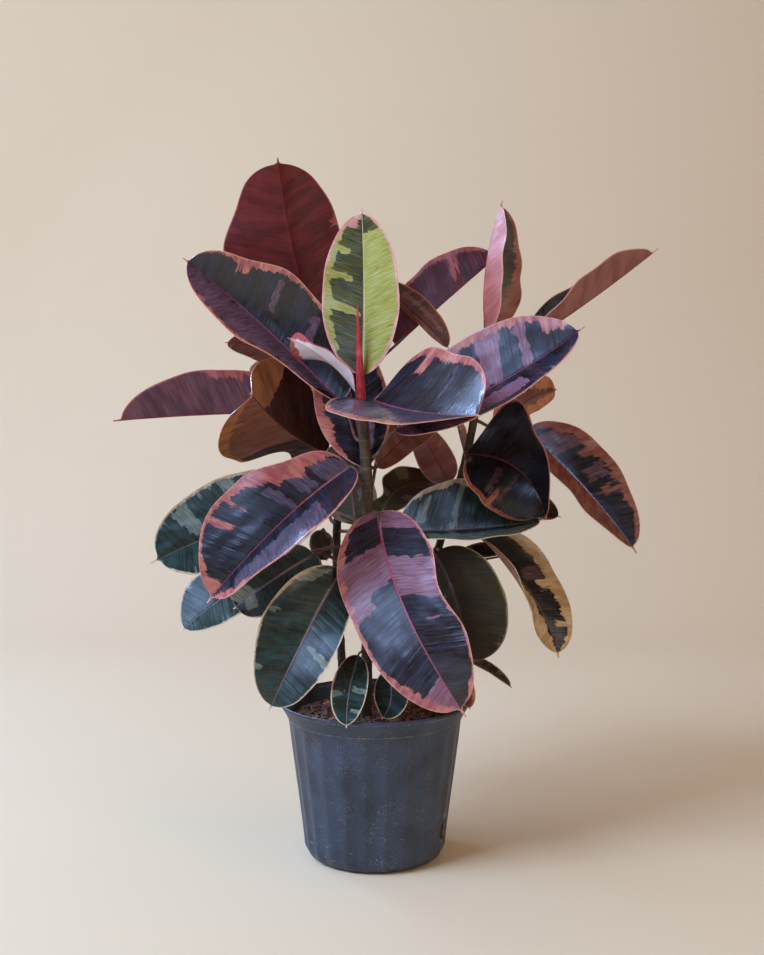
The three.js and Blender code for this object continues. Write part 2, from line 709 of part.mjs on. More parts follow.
// The sheath: a slender cone with a full base, stood along its line
function sheathGeometry() {
  const base = vec(SHEATH_BASE);
  const line = vec(SHEATH_TIP).sub(base);
  const length = line.length();
  const profile = [
    [0, 0],
    [0.9, 0],
    [1, 0.06],
    [0.86, 0.25],
    [0.62, 0.5],
    [0.34, 0.78],
    [0.14, 0.95],
    [0, 1],
  ];
  const points = profile.map(([r, h]) => new THREE.Vector2(r * SHEATH_RADIUS, h * length));
  const turn = new THREE.Quaternion().setFromUnitVectors(new THREE.Vector3(0, 1, 0), line.normalize());
  return new THREE.LatheGeometry(points, 12).applyQuaternion(turn).translate(base.x, base.y, base.z);
}

// The plant

const plant = new THREE.Group();

function add(name, geometry, color, roughness) {
  const material = new THREE.MeshStandardMaterial({ color, roughness, metalness: 0 });
  const mesh = new THREE.Mesh(geometry, material);
  mesh.name = name;
  plant.add(mesh);
}

add("pot", geometryOf(potSolid()), POT_COLOUR, 0.55);
add("soil", geometryOf(soilSolid()), SOIL_COLOUR, 0.95);
for (const [key, stem] of Object.entries(STEMS)) {
  const solid = solidOf(bar(stemCurves[key], stem.radius, STEM_SIDES, STEM_STEPS));
  add(`stem_${key}`, geometryOf(solid), STEM_COLOUR, 0.7);
}
add("sheath", sheathGeometry(), SHEATH_COLOUR, 0.4);
for (const leaf of LEAVES) {
  const solid = bladeSolid(leaf).add(petioleSolid(leaf));
  add(leaf.name, geometryOf(solid), LEAF_COLOURS[leaf.tone ?? "ruby"], 0.35);
}

export default plant;
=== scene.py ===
import math

import bpy
import numpy as np
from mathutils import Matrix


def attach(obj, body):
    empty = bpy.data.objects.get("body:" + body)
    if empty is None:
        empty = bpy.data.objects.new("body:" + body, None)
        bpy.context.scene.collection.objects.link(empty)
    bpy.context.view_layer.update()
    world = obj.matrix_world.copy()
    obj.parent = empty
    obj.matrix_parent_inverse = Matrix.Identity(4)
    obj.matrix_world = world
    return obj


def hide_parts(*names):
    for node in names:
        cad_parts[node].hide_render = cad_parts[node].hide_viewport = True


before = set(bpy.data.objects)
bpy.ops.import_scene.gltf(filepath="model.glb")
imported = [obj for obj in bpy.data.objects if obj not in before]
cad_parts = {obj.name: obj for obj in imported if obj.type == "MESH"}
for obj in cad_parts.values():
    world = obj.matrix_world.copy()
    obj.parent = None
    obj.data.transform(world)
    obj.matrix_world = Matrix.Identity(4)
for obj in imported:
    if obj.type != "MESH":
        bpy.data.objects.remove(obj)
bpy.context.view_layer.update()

# Potted ruby rubber plant. Lengths are in millimetres until a mesh is placed, +Z is up and the plant's
# front looks along -Y.
MM = 0.001

# Pot
POT_HEIGHT = 209
RIM_RADIUS = 127
RIM_THICKNESS = 4
COLLAR_BOTTOM = 187
BODY_TOP_RADIUS = 116
BODY_LOW_RADIUS = 95.6
BODY_LOW_HEIGHT = 26
FOOT_RADIUS = 78
POT_WALL = 2.2
POT_SIDES = 240
FLUTES = 24
FLUTE_DEPTH = 2
FLUTE_FOOT_SHARE = 0.4
DRAIN_ANGLES = (-20, 160)
DRAIN_WIDTH = 24
DRAIN_HEIGHT = 33
DRAIN_LEVEL = 43

# Soil
SOIL_LEVEL = 188
SOIL_RADIUS = 111.1
SOIL_GAP = 0.3
BARK_CHIPS = 1100
CHIP_LENGTHS = {3: 0.36, 4: 0.28, 6: 0.2, 8: 0.12, 11: 0.04}  # and how often each one comes
LUMPS = ((1.5, 46, 5), (0.9, 16, 6), (0.5, 7, 7))  # height, spacing and seed of the soil's waves
LUMP_LOW = -3.0
LUMP_HIGH = 2.4

# Stems and sheath
STEMS = {
    "main": {"radius": 7.6, "line": (
        (-12, -4, 96), (-11, -3, 230), (-10, -2, 343), (-9, 0, 464), (-12, 0, 530), (-17, -1, 606))},
    "right": {"radius": 5.8, "line": (
        (20, 24, 96), (40, 28, 235), (60, 30, 322), (90, 35, 420), (124, 44, 530), (136, 48, 589),
        (152, 54, 690))},
    "back": {"radius": 5.8, "line": (
        (-38, 36, 96), (-46, 48, 260), (-53, 60, 403), (-46, 85, 512), (-32, 96, 609), (-14, 102, 672))},
}
STEM_SIDES = 24
SHEATH_BASE = (-17.5, -2, 606.3)
SHEATH_TIP = (-23, -9, 737)
SHEATH_RADIUS = 6.8
SHEATH_SIDES = 40
SHEATH_PROFILE = (  # share of the height, share of the radius
    (0, 0.82), (0.015, 0.9), (0.06, 1), (0.15, 0.95), (0.25, 0.86), (0.38, 0.74), (0.5, 0.62), (0.64, 0.48),
    (0.78, 0.34), (0.88, 0.22), (0.95, 0.13), (0.99, 0.05), (1, 0.02),
)

# Leaves
BLADE_THICKNESS = 0.9
BLADE_GRID = (62, 40)
PETIOLE_RADIUS = 2.3
RIB_RIDGE = 1.35
RIB_GROOVE = 0.45
SMALL_WIDTH = 64  # a leaf under this width is a small one
SMALL_GRID = (34, 20)
SMALL_PETIOLE_RADIUS = 1.45
SMALL_RIB_RIDGE = 0.5
RIB_REACH = 0.1
SPUR = 0.08
VEIN_LEAN = 0.36  # a side vein runs this far towards the point for each millimetre outwards
STATIONS = (0, 0.1, 0.25, 0.4, 0.55, 0.7, 0.85, 1)  # where along a blade its dark centre is given

# Stage, in millimetres, and camera, in metres and degrees
BACKDROP_FLAT = 1500
BACKDROP_BEND = 1000
BACKDROP_LENGTH = 4200
BACKDROP_WIDTH = 4500
CAMERA_PLACE = (0, -1.722, 0.623)
CAMERA_DOWN = 3.85
CAMERA_TURN = -0.32
CAMERA_LENS = 49.0


def table(make, rows):
    """Reads a table: make gets the cells that follow a row's name."""
    return {name: make(*cells) for name, *cells in map(str.split, rows)}


def numbers(cell):
    """One number, or several with commas between them."""
    made = [float(part) for part in cell.split(",")]
    return made if len(made) > 1 else made[0]


def shares(cells):
    return [float(cell) / 100 for cell in cells]


def read_leaf(stem, root, width, face, fold, neck, belly, tip, tone, *others):
    """The measures and the look of one leaf, with the usual ones where its row gives none."""
    made = dict(away=None, curl=0, twist=0, wave=0, bulge=0.47, base=1.1, point=1)
    made.update(left=(1, 1, 1), right=(1, 1, 1), stem=stem, tone=tone)
    made.update(root=numbers(root), width=numbers(width), face=numbers(face), fold=numbers(fold))
    made["points"] = [np.array(numbers(place)) for place in (neck, belly, tip)]
    bar = others.index("|")
    for other in others[:bar]:
        key, cell = other.split("=")
        made[key] = numbers(cell)
    for key in ("fold", "curl"):
        made[key] = made[key] if isinstance(made[key], list) else [made[key]] * 2
    return made | read_look(*others[bar + 1 :])


def read_look(upper="-", under="-", left="-", right="-", pale="-7", *patches):
    halves = [None if half == "-" else shares(half.split(",")) for half in (left, right)]
    rows = [patch.split(",") for patch in patches if patch != "none"]
    return {
        "upper": upper, "under": under, "pale": float(pale),
        "dark": [half * len(STATIONS) if half and len(half) == 1 else half for half in halves],
        "patches": [(row[0], *shares(row[1:5]), row[5]) for row in rows] if patches else None,
    }


# The leaves: the stem that carries it, the height at which its petiole leaves that stem, its width, the
# compass angle and elevation of the way its upper side looks, how far its left and right half are folded
# up, the midrib's base, middle and point, and its slot. away is the petiole's compass angle where it
# doesn't head for the blade, curl and twist turn the blade, bulge, base and point shape its outline, and
# left and right are the shares of its width at a quarter, half and three quarters. After the bar comes its
# look: upper face and underside, the percents of its left and right half that the dark centre takes at the
# stations, how far the paler colour of the centre is from showing, and its patches: side, start and end
# along the blade and inner and outer end across the half, in percent, and kind. Where a look has a dash or
# ends early, its slot's usual faces or seeded shares and patches come in.
LEAVES = table(read_leaf, (
    # young_upright: the pale band along the outer edge of its left half paints the sheen on that edge in the
    # leaf's paler green
    "young_upright main 596 112 -110,0 20 -16,4,643 -14,6,751 -17,0,862 young away=75 curl=-10 base=1.2 |"
    " young - 75,86,93,94,94,94,90,50 72,85,93,94,94,94,93,60 -13 R,-30,84,-50,160,pale L,34,40,10,90,pale"
    " L,54,58,30,100,pale L,70,74,40,100,pale L,10,90,78,120,pale L,86,97,20,100,light",
    "young_folded main 600 49.09 38.36,56.99 23.5,7.53 -26,-19,622 -62,-39,661 -112,-43,690 young"
    " curl=-6.79,12.72 twist=-49.09 bulge=0.41 base=1.59 point=0.58 left=1.32,0.69,0.43 right=1.68,1.02,1.97"
    " | lilac lilac 95,95,95,95,95,90,40,0 95,95,95,95,95,90,40,0 -7 none",
    "top_front_right main 597 182.09 -166.9,52.72 13.48,38.87 -1.11,-14,608.65 58.24,-95,594.81"
    " 125.04,-190,593 ruby curl=22.23,-11.96 twist=-7.65 bulge=0.38 base=0.6 point=0.58 left=1.07,0.97,1.02"
    " right=1.21,1.11,1.15 | slate - 93,90,88,82,88,88,90,80 93,93,92,90,90,88,90,90 -12 L,10,18,60,100,light"
    " L,50,54,30,85,pale R,0,100,0,100,pale",
    "top_left main 556 157.55 -61.74,16.68 42.46,33.86 -45,26,606 -162,24,720 -253,10,796.46 ruby"
    " curl=-25.04,22.22 twist=12.37 bulge=0.44 base=1.09 point=1.11 left=0.71,0.9,0.9 right=0.98,1.02,0.83 |"
    " ruby - 97,96,95,95,94,93,93,93 95,95,93,94,88,80,90,95 -9 R,62,66,60,100,light R,76,78,78,100,light"
    " L,66,70,84,100,light R,20,24,30,80,pale R,42,45,30,80,pale L,3,97,0,92,pale",
    "top_right main 534 148 -112,34 32 28,6,570 157,-5,628 274,-20,706 ruby left=1,1,1.08 | mauve -"
    " 95,88,84,86,86,84,86,70 98,97,96,95,95,95,94,90 -7 L,0,7,0,100,pale L,16,23,0,100,pale"
    " L,30,36,0,100,pale L,44,56,0,100,pale L,66,71,0,100,pale L,20,23,50,100,light L,80,90,50,100,light"
    " R,30,60,30,80,pale",
    "top_behind_stem main 517 104 -95,10 15 -12,12,519 -31,40,610 -54,70,719 ruby base=1.7 | ruby -"
    " 90,85,70,72,76,80,85,85 95,93,90,93,90,93,90,85 -7 R,10,30,0,50,pale L,50,70,0,40,pale",
    "top_right_under main 520 78 90,40 15 4,22,521 64,50,577 137,60,620 maroon | - brown 96 96 -7 none",
    "top_back_left back 651 178.89 110.49,17.84 20.14,0 -85.7,100,709.78 -114.77,74,828.89 -131.2,58,936"
    " maroon curl=-30.56,10.94 twist=-0.72 bulge=0.46 base=1.15 point=0.98 left=0.73,0.84,0.87"
    " right=1.22,1.06,0.87 | - maroon 98,98,98,98,98,98,98,96 98,98,98,98,98,98,98,96 -15"
    " L,42,47,85,100,light",
    # left_cupped: its dark centre paints the shade in its hollow, and its tan patch and margin are partly
    # painted light coming through the blade
    "left_cupped back 533 168 129.44,24.86 40.39,32.7 -66,85,536 -118,25,569 -161,-35,619 maroon"
    " curl=9.12,-13.18 twist=-21.78 bulge=0.42 point=0.5 left=0.91,1.5,1.35 right=0.46,1,1.12 | - tan"
    " 97,97,97,96,86,30,-10,-20 97,97,97,95,93,86,60,20 -6 R,35,110,-10,110,pale R,70,74,50,100,light",
    "far_left back 568 134 90,35 55 -106,120,592 -232,110,589 -364,90,580 maroon point=1.15 | - dusk"
    " 86,84,86,93,96,96,95,80 86,84,86,93,96,96,95,80 -14 L,22,42,78,100,light R,22,42,78,100,light",
    "left_small back 595 50 90,40 10 -104,103,648 -156,96,679 -205,70,688 maroon | - brown 96 96 -7 none",
    "top_back_right back 658 112 110,45 55 29,70,685 104,65,751 172,73,809 maroon base=0.8 | ruby wine"
    " 95,95,93,92,88,84,80,70 95,95,93,92,88,84,80,70 -8 L,60,65,30,100,light R,60,65,30,100,light",
    "top_back_hanging back 664 48 70,40 30 10,39,764 58,26,722 100,16,677 maroon | cream ember 90 90 -3"
    " L,10,90,20,60,light R,20,80,30,60,pale",
    "right_upright right 683 98 -26,0 48 151,48,700 151,52,788 173,55,878 ruby base=0.7 left=1.15,1,1"
    " right=1.15,1.05,1 | copper rose 90,90,93,95,95,95,95,90 10,30,62,74,80,80,84,60 -9 R,20,30,10,80,pale",
    "far_right right 676 102.42 -164.89,35.62 17.81,48.44 213,55,692.21 292,50,744.84 382,45,813 ruby"
    " twist=9.64 left=1.12,1.04,1.21 right=0.82,1.1,1.19 | copper rosewood 95 95 -7 none",
    "right_back right 582 84 90,50 10 165,65,575 210,75,608 252,75,624 maroon point=0.7 | copper brown"
    " 50,40,30,40,40,30,20,10 50,40,30,40,40,30,20,10 -2 none",
    "right_cupped right 539 139.7 -108.47,47.35 37.88,2.55 123,22,536 189,-16,518 223,-45,455 ruby"
    " curl=40,13.72 twist=-40 base=1.52 point=0.56 left=1.42,0.79,0.8 right=1.49,1.08,0.96 | night tan"
    " 96,95,95,95,95,95,94,93 95,94,92,90,90,90,90,90 -11 R,30,36,20,80,pale R,50,54,10,70,pale"
    " R,42,50,62,100,light",
    "right_drooping right 548 106.93 -52.34,5.53 25.68,27.82 205.69,62,564.8 279.43,40,496 351.68,10,404.7"
    " ruby curl=-10.93,3.97 twist=2.67 bulge=0.45 base=1.03 point=0.98 left=1.11,1.12,1.08"
    " right=0.82,0.91,1.46 | rusty rose 60,62,78,74,74,74,74,60 0 -7 L,30,34,50,100,light"
    " L,56,61,30,100,light L,8,25,10,70,pale L,42,50,20,70,pale",
    "mid_back_right right 480 52 100,10 10 102,65,497 83,90,531 57,106,581 maroon | - rosewood 95 95 -6 none",
    "right_stem_small right 535 40 10,10 20 126,98,536 119,100,560 112,98,592 maroon | - brown",
    "mid_right_back right 514 60 -90,50 10 145,70,499 202,75,471 258,70,447 green | olive brown",
    "low_right_drooping right 425 134.75 -47.69,12.87 8.06,23.01 141.74,50,424.73 211.97,35,346.7 248,10,262"
    " ruby curl=-20.26,31.33 twist=-22.2 wave=2 bulge=0.4 base=1.33 point=1.16 left=1.54,0.99,0.88"
    " right=1.18,0.86,1.17 | cream brown 93,66,52,58,54,62,74,20 30,20,10,10,10,10,10,10 -7"
    " L,42,48,30,100,light L,72,76,30,100,light L,30,42,10,60,pale",
    "low_right_hanging right 407 135 60,10 10 81,-4,407 110,-32,337 126,-25,261 green point=0.9 | olive olive"
    " 96 96 -7 L,30,50,20,80,pale",
    "low_right_small right 391 30 -90,50 20 173,60,399 145,60,399 113,55,392 green | olive olive",
    "low_right_narrow right 308 24 -60,60 20 109,30,262 152,30,244 187,25,218 green | olive olive",
    "low_right_sliver right 280 28 100,20 20 98,-14,256 116,-38,235 124,-53,208 green | - brown",
    # mid_left: the wide pale patch over its lower half paints a blue-grey sheen in the blade's paler colours
    "mid_left main 500 146 -112,22 30 -32,-20,522 -122,-70,452 -212,-90,354 ruby base=1.2 left=1,0.92,0.78"
    " right=0.85,1.06,1.17 | slate - 97,96,95,95,94,95,80,0 90,66,50,64,86,94,92,0 -8 R,0,16,0,70,pale"
    " R,20,28,10,60,pale R,50,53,45,100,light R,60,63.5,50,100,light R,36,40,0,60,pale L,26,82,30,100,pale"
    " R,88,97,0,100,light",
    "mid_left_back main 450 144 -96,20 20 -67,27,460 -184,52,437 -303,30,389 green point=0.85 | green -"
    " 95,94,94,94,94,93,92,80 95,94,95,93,94,93,94,80 -5 R,38,46,20,95,pale R,66,74,10,90,pale"
    " L,40,52,30,90,pale R,10,18,50,100,light",
    "low_left_outer main 417 80 -90,35 15 -119,-14,398 -190,-28,358 -253,-44,309 green right=1,1.1,1.25 |"
    " green - 95 95,94,95,94,95,94,92,70 -7 R,40,60,0,25,pale L,30,50,10,50,pale",
    "low_left_inner main 377 92 -90,30 10 -80,-14,406 -133,-52,377 -182,-64,342 green point=0.8"
    " right=0.5,0.7,0.9 | green - 95 94 -7 R,70,90,0,70,pale L,72,86,0,50,pale",
    "low_left_front main 397 112 -85,15 10 -44,-40,388 -91,-90,307 -133,-110,220 green base=1 point=1.05"
    " left=0.78,0.8,0.84 right=1.05,1.08,1 | green - 96,96,96,96,96,95,95,90 90,86,92,96,95,96,96,90 -13"
    " R,2,12,50,100,pale R,30,33,80,100,pale R,70,73,70,100,pale L,50,53,20,90,pale",
    "front_large main 461 138 -100,15 6 4,-14,462 37,-85,348 115,-110,212 ruby curl=-6 bulge=0.5 base=0.8"
    " point=0.95 left=0.95,0.74,0.95 right=1.08,0.98,1.02 | mauve - 90,94,94,93,94,95,94,60"
    " 84,84,86,87,93,94,72,20 -12 L,-20,9,-10,110,pale L,25,46,-10,110,pale L,55,57,40,95,pale"
    " R,-20,3,-10,110,pale R,17,36,-10,110,pale R,82,110,0,100,pale R,36,42,50,100,pale",
    "mid_right main 440 138 -90,52 33 31,2,437 130,6,438 228,12,450 green | green - 95,92,88,86,86,88,88,80"
    " 97,96,95,95,95,94,92,80 -8 L,34,38,0,90,pale L,10,16,20,80,pale R,10,90,40,100,pale",
    "mid_back_olive main 457 80 -90,50 10 9,30,456 37,72,488 92,112,493 green left=0.3,0.8,1 | olive olive 94"
    " 94",
    "low_front_small main 276 46 -90,20 8 -22,-40,276 -33,-95,240 -35,-142,207 green | green - 95 94 -8"
    " L,40,47,20,100,pale R,50,54,30,100,pale L,70,76,30,100,pale",
    "low_front_hanging main 262 46 -90,20 8 16,-30,255 21,-60,226 9,-90,205 green | green - 95 95 -12 none",
    "mid_behind_stem back 428 90 95,10 10 -27,41,440 -34,46,494 -57,41,555 green left=0.8,0.72,0.75 | - sage",
    "low_back_hanging back 414 34 100,10 10 -72,46,432 -72,44,412 -65,42,390 green | - sage",
    "low_back_small back 329 34 100,10 10 -85,30,359 -88,35,384 -94,38,404 green | - sage",
    "back_top back 640 130 100,55 12 -24,128,662 -50,205,735 -70,285,770 maroon |",
    "back_top_right back 600 120 80,65 12 20,118,590 95,180,632 160,245,635 ruby away=55 |",
    "back_top_left back 585 130 110,60 12 -55,122,600 -115,195,635 -180,255,630 ruby |",
    "back_middle main 490 140 90,60 12 10,110,560 26,190,565 42,268,520 ruby away=65 |",
    "back_right right 455 130 70,55 12 110,75,465 150,150,465 170,225,415 green |",
    "back_left back 440 140 110,55 12 -70,100,455 -120,165,450 -185,225,395 green |",
    "back_low main 350 112 85,50 12 -2,45,360 10,120,336 14,196,272 green |",
    "back_low_left back 330 104 115,45 12 -62,85,335 -98,146,314 -126,200,262 green |",
    "back_low_right right 320 104 55,45 12 92,58,325 118,122,312 132,185,262 green |",
))

# The faces that a slot takes where a leaf's look names none
FACES = {
    "ruby": ("ruby", "rose"), "green": ("green", "sage"), "maroon": ("ruby", "maroon"),
    "young": ("young", "lilac"),
}

# Numbers and small tools


def linear(code):
    """A six-digit sRGB colour as linear red, green, blue and alpha."""
    shares = [int(code[i : i + 2], 16) / 255 for i in (1, 3, 5)]
    return [s / 12.92 if s <= 0.04045 else ((s + 0.055) / 1.055) ** 2.4 for s in shares] + [1]


def unit(rows):
    length = np.linalg.norm(rows, axis=-1, keepdims=True)
    return rows / np.maximum(length, 1e-9)


def direction(turn, rise):
    turn, rise = math.radians(turn), math.radians(rise)
    level = math.cos(rise)
    return np.array([level * math.cos(turn), level * math.sin(turn), math.sin(rise)])


def smoothstep(x, low, high):
    x = np.clip((x - low) / (high - low), 0, 1)
    return x * x * (3 - 2 * x)


def bell(x, width):
    return np.exp(-((x / width) ** 2))


def ripple(x, y, size, seed):
    """Soft lumps about as far apart as size, between -1 and 1."""
    rng = np.random.default_rng(seed)
    total = np.zeros_like(x, dtype=float)
    for _ in range(6):
        turn = rng.uniform(0, 2 * math.pi)
        pace = 2 * math.pi / (size * rng.uniform(0.7, 1.5))
        total += np.sin(pace * (x * math.cos(turn) + y * math.sin(turn)) + rng.uniform(0, 6.3))
    return total / 3.2


def smooth_line(points, steps):
    """Points on a smooth curve through the given ones."""
    points = [np.array(p, float) for p in points]
    points = [2 * points[0] - points[1]] + points + [2 * points[-1] - points[-2]]
    line = []
    for before, start, end, after in zip(points, points[1:], points[2:], points[3:]):
        spans = ((before, start), (start, end), (end, after))
        gaps = [max(np.linalg.norm(b - a) ** 0.5, 1e-4) for a, b in spans]
        leave = (start - before) / gaps[0] - (end - before) / (gaps[0] + gaps[1]) + (end - start) / gaps[1]
        arrive = (end - start) / gaps[1] - (after - start) / (gaps[1] + gaps[2]) + (after - end) / gaps[2]
        leave, arrive = leave * gaps[1], arrive * gaps[1]
        for t in np.linspace(0, 1, steps, endpoint=False):
            line.append(
                (2 * t**3 - 3 * t**2 + 1) * start + (t**3 - 2 * t**2 + t) * leave
                + (3 * t**2 - 2 * t**3) * end + (t**3 - t**2) * arrive
            )
    return np.array(line + [points[-2]])


# Mesh tools


def pick(*pieces):
    """Selects these pieces alone, with the first one active."""
    bpy.ops.object.select_all(action="DESELECT")
    for piece in pieces:
        piece.select_set(True)
    if pieces:
        bpy.context.view_layer.objects.active = pieces[0]


def read_points(mesh):
    flat = np.zeros(len(mesh.vertices) * 3)
    mesh.vertices.foreach_get("co", flat)
    return flat.reshape(-1, 3) / MM


def write_points(mesh, points):
    mesh.vertices.foreach_set("co", (points * MM).ravel())
    mesh.update()


def write_attribute(mesh, name, values):
    kind, field = ("FLOAT", "value") if values.ndim == 1 else ("FLOAT_VECTOR", "vector")
    made = mesh.attributes.new(name, kind, "POINT")
    made.data.foreach_set(field, values.astype(np.float32).ravel())


def apply_place(piece):
    pick(piece)
    bpy.ops.object.transform_apply(location=True, rotation=True, scale=True)


def apply_modifiers(piece):
    pick(piece)
    for modifier in list(piece.modifiers):
        bpy.ops.object.modifier_apply(modifier=modifier.name)


def join(first, *others):
    pick(first, *others)
    bpy.ops.object.join()
    return first


def rings(name, sides, levels):
    """A closed round shape drawn up ring by ring. Each level is its middle and its radius."""
    pick()
    x, y, z, radius = levels[0]
    bpy.ops.mesh.primitive_circle_add(
        vertices=sides, radius=radius * MM, fill_type="NGON", location=(x * MM, y * MM, z * MM)
    )
    piece = bpy.context.object
    piece.name = name
    apply_place(piece)
    bpy.ops.object.mode_set(mode="EDIT")
    bpy.ops.mesh.select_all(action="SELECT")
    for before, level in zip(levels, levels[1:]):
        step = tuple((level[i] - before[i]) * MM for i in range(3))
        bpy.ops.mesh.extrude_region_move(TRANSFORM_OT_translate={"value": step})
        grow = level[3] / before[3]
        middle = tuple(c * MM for c in level[:3])
        bpy.ops.transform.resize(value=(grow, grow, grow), center_override=middle)
    bpy.ops.mesh.select_all(action="SELECT")
    bpy.ops.mesh.normals_make_consistent(inside=False)
    bpy.ops.object.mode_set(mode="OBJECT")
    return piece


def hand_over(piece, node, angle, material=None):
    """Smooths a finished piece and sets it in the place of its CAD node."""
    pick(piece)
    bpy.ops.object.shade_smooth_by_angle(angle=math.radians(angle))
    if material:
        piece.data.materials.append(material)
    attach(piece, "root")
    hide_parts(node)


# Materials


def add(tree, kind, into=None, out=0, **settings):
    """Adds a node with its settings and gives one of its outputs. into sets or links its inputs."""
    made = tree.nodes.new("ShaderNode" + kind)
    for name, value in settings.items():
        setattr(made, name, value)
    for socket, value in (into or {}).items():
        if isinstance(value, bpy.types.NodeSocket):
            tree.links.new(value, made.inputs[socket])
        else:
            made.inputs[socket].default_value = value
    return made.outputs[out] if made.outputs else None


def finish_material(name, shade):
    """A material with one principled shader, whose settings and links shade gives."""
    material = bpy.data.materials.new(name)
    material.use_nodes = True
    tree = material.node_tree
    tree.nodes.clear()
    add(tree, "OutputMaterial", {"Surface": add(tree, "BsdfPrincipled", shade(tree))})
    return material


def maths(tree, operation, *values):
    return add(tree, "Math", dict(enumerate(values)), operation=operation)


def noise(tree, place, scale, detail=2, roughness=0.5):
    return add(tree, "TexNoise", {"Vector": place, "Scale": scale, "Detail": detail, "Roughness": roughness})


def drawn_out(tree, place, factors):
    return add(tree, "VectorMath", {0: place, 1: factors}, operation="MULTIPLY")


def ramp(tree, value, low, high, start, end, clamp=True):
    """start at low and end at high, straight between them."""
    ends = {"From Min": low, "From Max": high, "To Min": start, "To Max": end}
    return add(tree, "MapRange", {"Value": value, **ends}, clamp=clamp)


def step_up(tree, value, low, high):
    """0 below low and 1 above high, smooth between them."""
    ends = {"From Min": low, "From Max": high}
    return add(tree, "MapRange", {"Value": value, **ends}, interpolation_type="SMOOTHSTEP")


def streaks(tree, vein, along, across, seed, detail=2):
    """Noise drawn out along the side veins, with sizes in millimetres, from about 0.25 to 0.75."""
    spread = {0: vein, 1: (1 / along, 1 / across, 1), 2: (seed, seed * 0.7, seed)}
    return noise(tree, add(tree, "VectorMath", spread, operation="MULTIPLY_ADD"), 1, detail, 0.55)


def swing(tree, fac, reach):
    """A noise as a shift of up to reach either way."""
    return ramp(tree, fac, 0.3, 0.7, -reach, reach, clamp=False)


def mixed(tree, share, first, second):
    """Two colours, each a hex code or an output, mixed by a share."""
    first, second = (c if isinstance(c, bpy.types.NodeSocket) else linear(c) for c in (first, second))
    return add(tree, "Mix", {0: share, 6: first, 7: second}, out=2, data_type="RGBA")


def bumped(tree, height, strength, distance):
    return add(tree, "Bump", {"Height": height, "Strength": strength, "Distance": distance})


def attribute(tree, name, out="Fac"):
    return add(tree, "Attribute", out=out, attribute_name=name)


def object_place(tree):
    return add(tree, "TexCoord", out="Object")


# A living leaf of Ficus elastica: a thick blade under a natural wax coat. The eye sees a dark centre
# that breaks up along the side veins, a paler toothed margin, a thin bright edge and a soft wide sheen.
def leaf_face(*cells):
    dark, dark_cool, mid, mid_warm, margin, margin_deep, edge, rib, vein_tint = ("#" + c for c in cells[:9])
    rough, coat = float(cells[9]), float(cells[10])

    def shade(tree):
        vein = attribute(tree, "vein", "Vector")
        zone = add(tree, "SeparateXYZ", {0: attribute(tree, "zone", "Vector")}).node
        from_edge, into_margin, from_rib = zone.outputs

        # the dark strokes reach further where the margin is wide
        reach = ramp(tree, maths(tree, "ADD", from_edge, into_margin), 1.5, 15, 0.14, 1)
        teeth = swing(tree, streaks(tree, vein, 11, 60, 3.1), 5.2)
        fringe = swing(tree, streaks(tree, vein, 3.1, 26, 7.7), 2.6)
        hairs = swing(tree, streaks(tree, vein, 1.1, 14, 5.2), 1.3)
        ragged = maths(tree, "ADD", maths(tree, "ADD", teeth, fringe), hairs)
        border = maths(tree, "MULTIPLY_ADD", ragged, reach, into_margin)
        light = step_up(tree, border, -1.1, 1.2)

        wash = swing(tree, streaks(tree, vein, 8, 44, 12.4, 3), 13)
        smear = maths(tree, "ADD", wash, attribute(tree, "patch"))
        pale = maths(tree, "ADD", smear, maths(tree, "MULTIPLY", border, 0.45))
        middle = step_up(tree, pale, -2.2, 3.4)

        clouds = step_up(tree, streaks(tree, vein, 17, 64, 21), 0.4, 0.62)
        grain = step_up(tree, streaks(tree, vein, 1.5, 22, 31, 3), 0.36, 0.66)
        blush = step_up(tree, streaks(tree, vein, 10, 30, 27), 0.38, 0.64)
        centre = mixed(tree, clouds, dark, dark_cool)
        pinks = mixed(tree, blush, margin, margin_deep)
        coloured = mixed(tree, middle, centre, mixed(tree, grain, mid, mid_warm))
        coloured = mixed(tree, light, coloured, pinks)

        # side veins: fine pale streaks, drawn twice as wide as they are so that they show
        hairline = step_up(tree, streaks(tree, vein, 0.9, 30, 17), 0.5, 0.74)
        coloured = mixed(tree, maths(tree, "MULTIPLY", hairline, 0.3), coloured, vein_tint)
        coloured = mixed(tree, ramp(tree, from_rib, 0.85, 1.6, 0.9, 0), coloured, rib)
        wander = maths(tree, "MULTIPLY_ADD", fringe, 0.3, from_edge)
        coloured = mixed(tree, ramp(tree, wander, 0.3, 1.6, 0.9, 0), coloured, edge)

        # the wax is duller in small smears and along the side veins
        haze = maths(tree, "ADD", streaks(tree, vein, 26, 18, 44, 3), streaks(tree, vein, 4.5, 46, 47, 3))
        dull = ramp(tree, haze, 0.75, 1.25, rough - 0.12, rough + 0.16)

        # the blade heaves a little, and swells between its side veins, which lie 5.5 mm apart
        swells = maths(tree, "MULTIPLY", streaks(tree, vein, 5.5, 70, 61, 1), 0.75)
        relief = maths(tree, "MULTIPLY_ADD", streaks(tree, vein, 46, 34, 52, 1), 4.5, swells)
        relief = maths(tree, "MULTIPLY_ADD", hairline, -0.03, relief)
        return {
            "Base Color": coloured, "Roughness": dull, "IOR": 1.38 + 0.2 * coat, "Coat Weight": coat,
            "Coat Roughness": 0.22, "Normal": bumped(tree, relief, 1, 0.001),
        }

    return shade


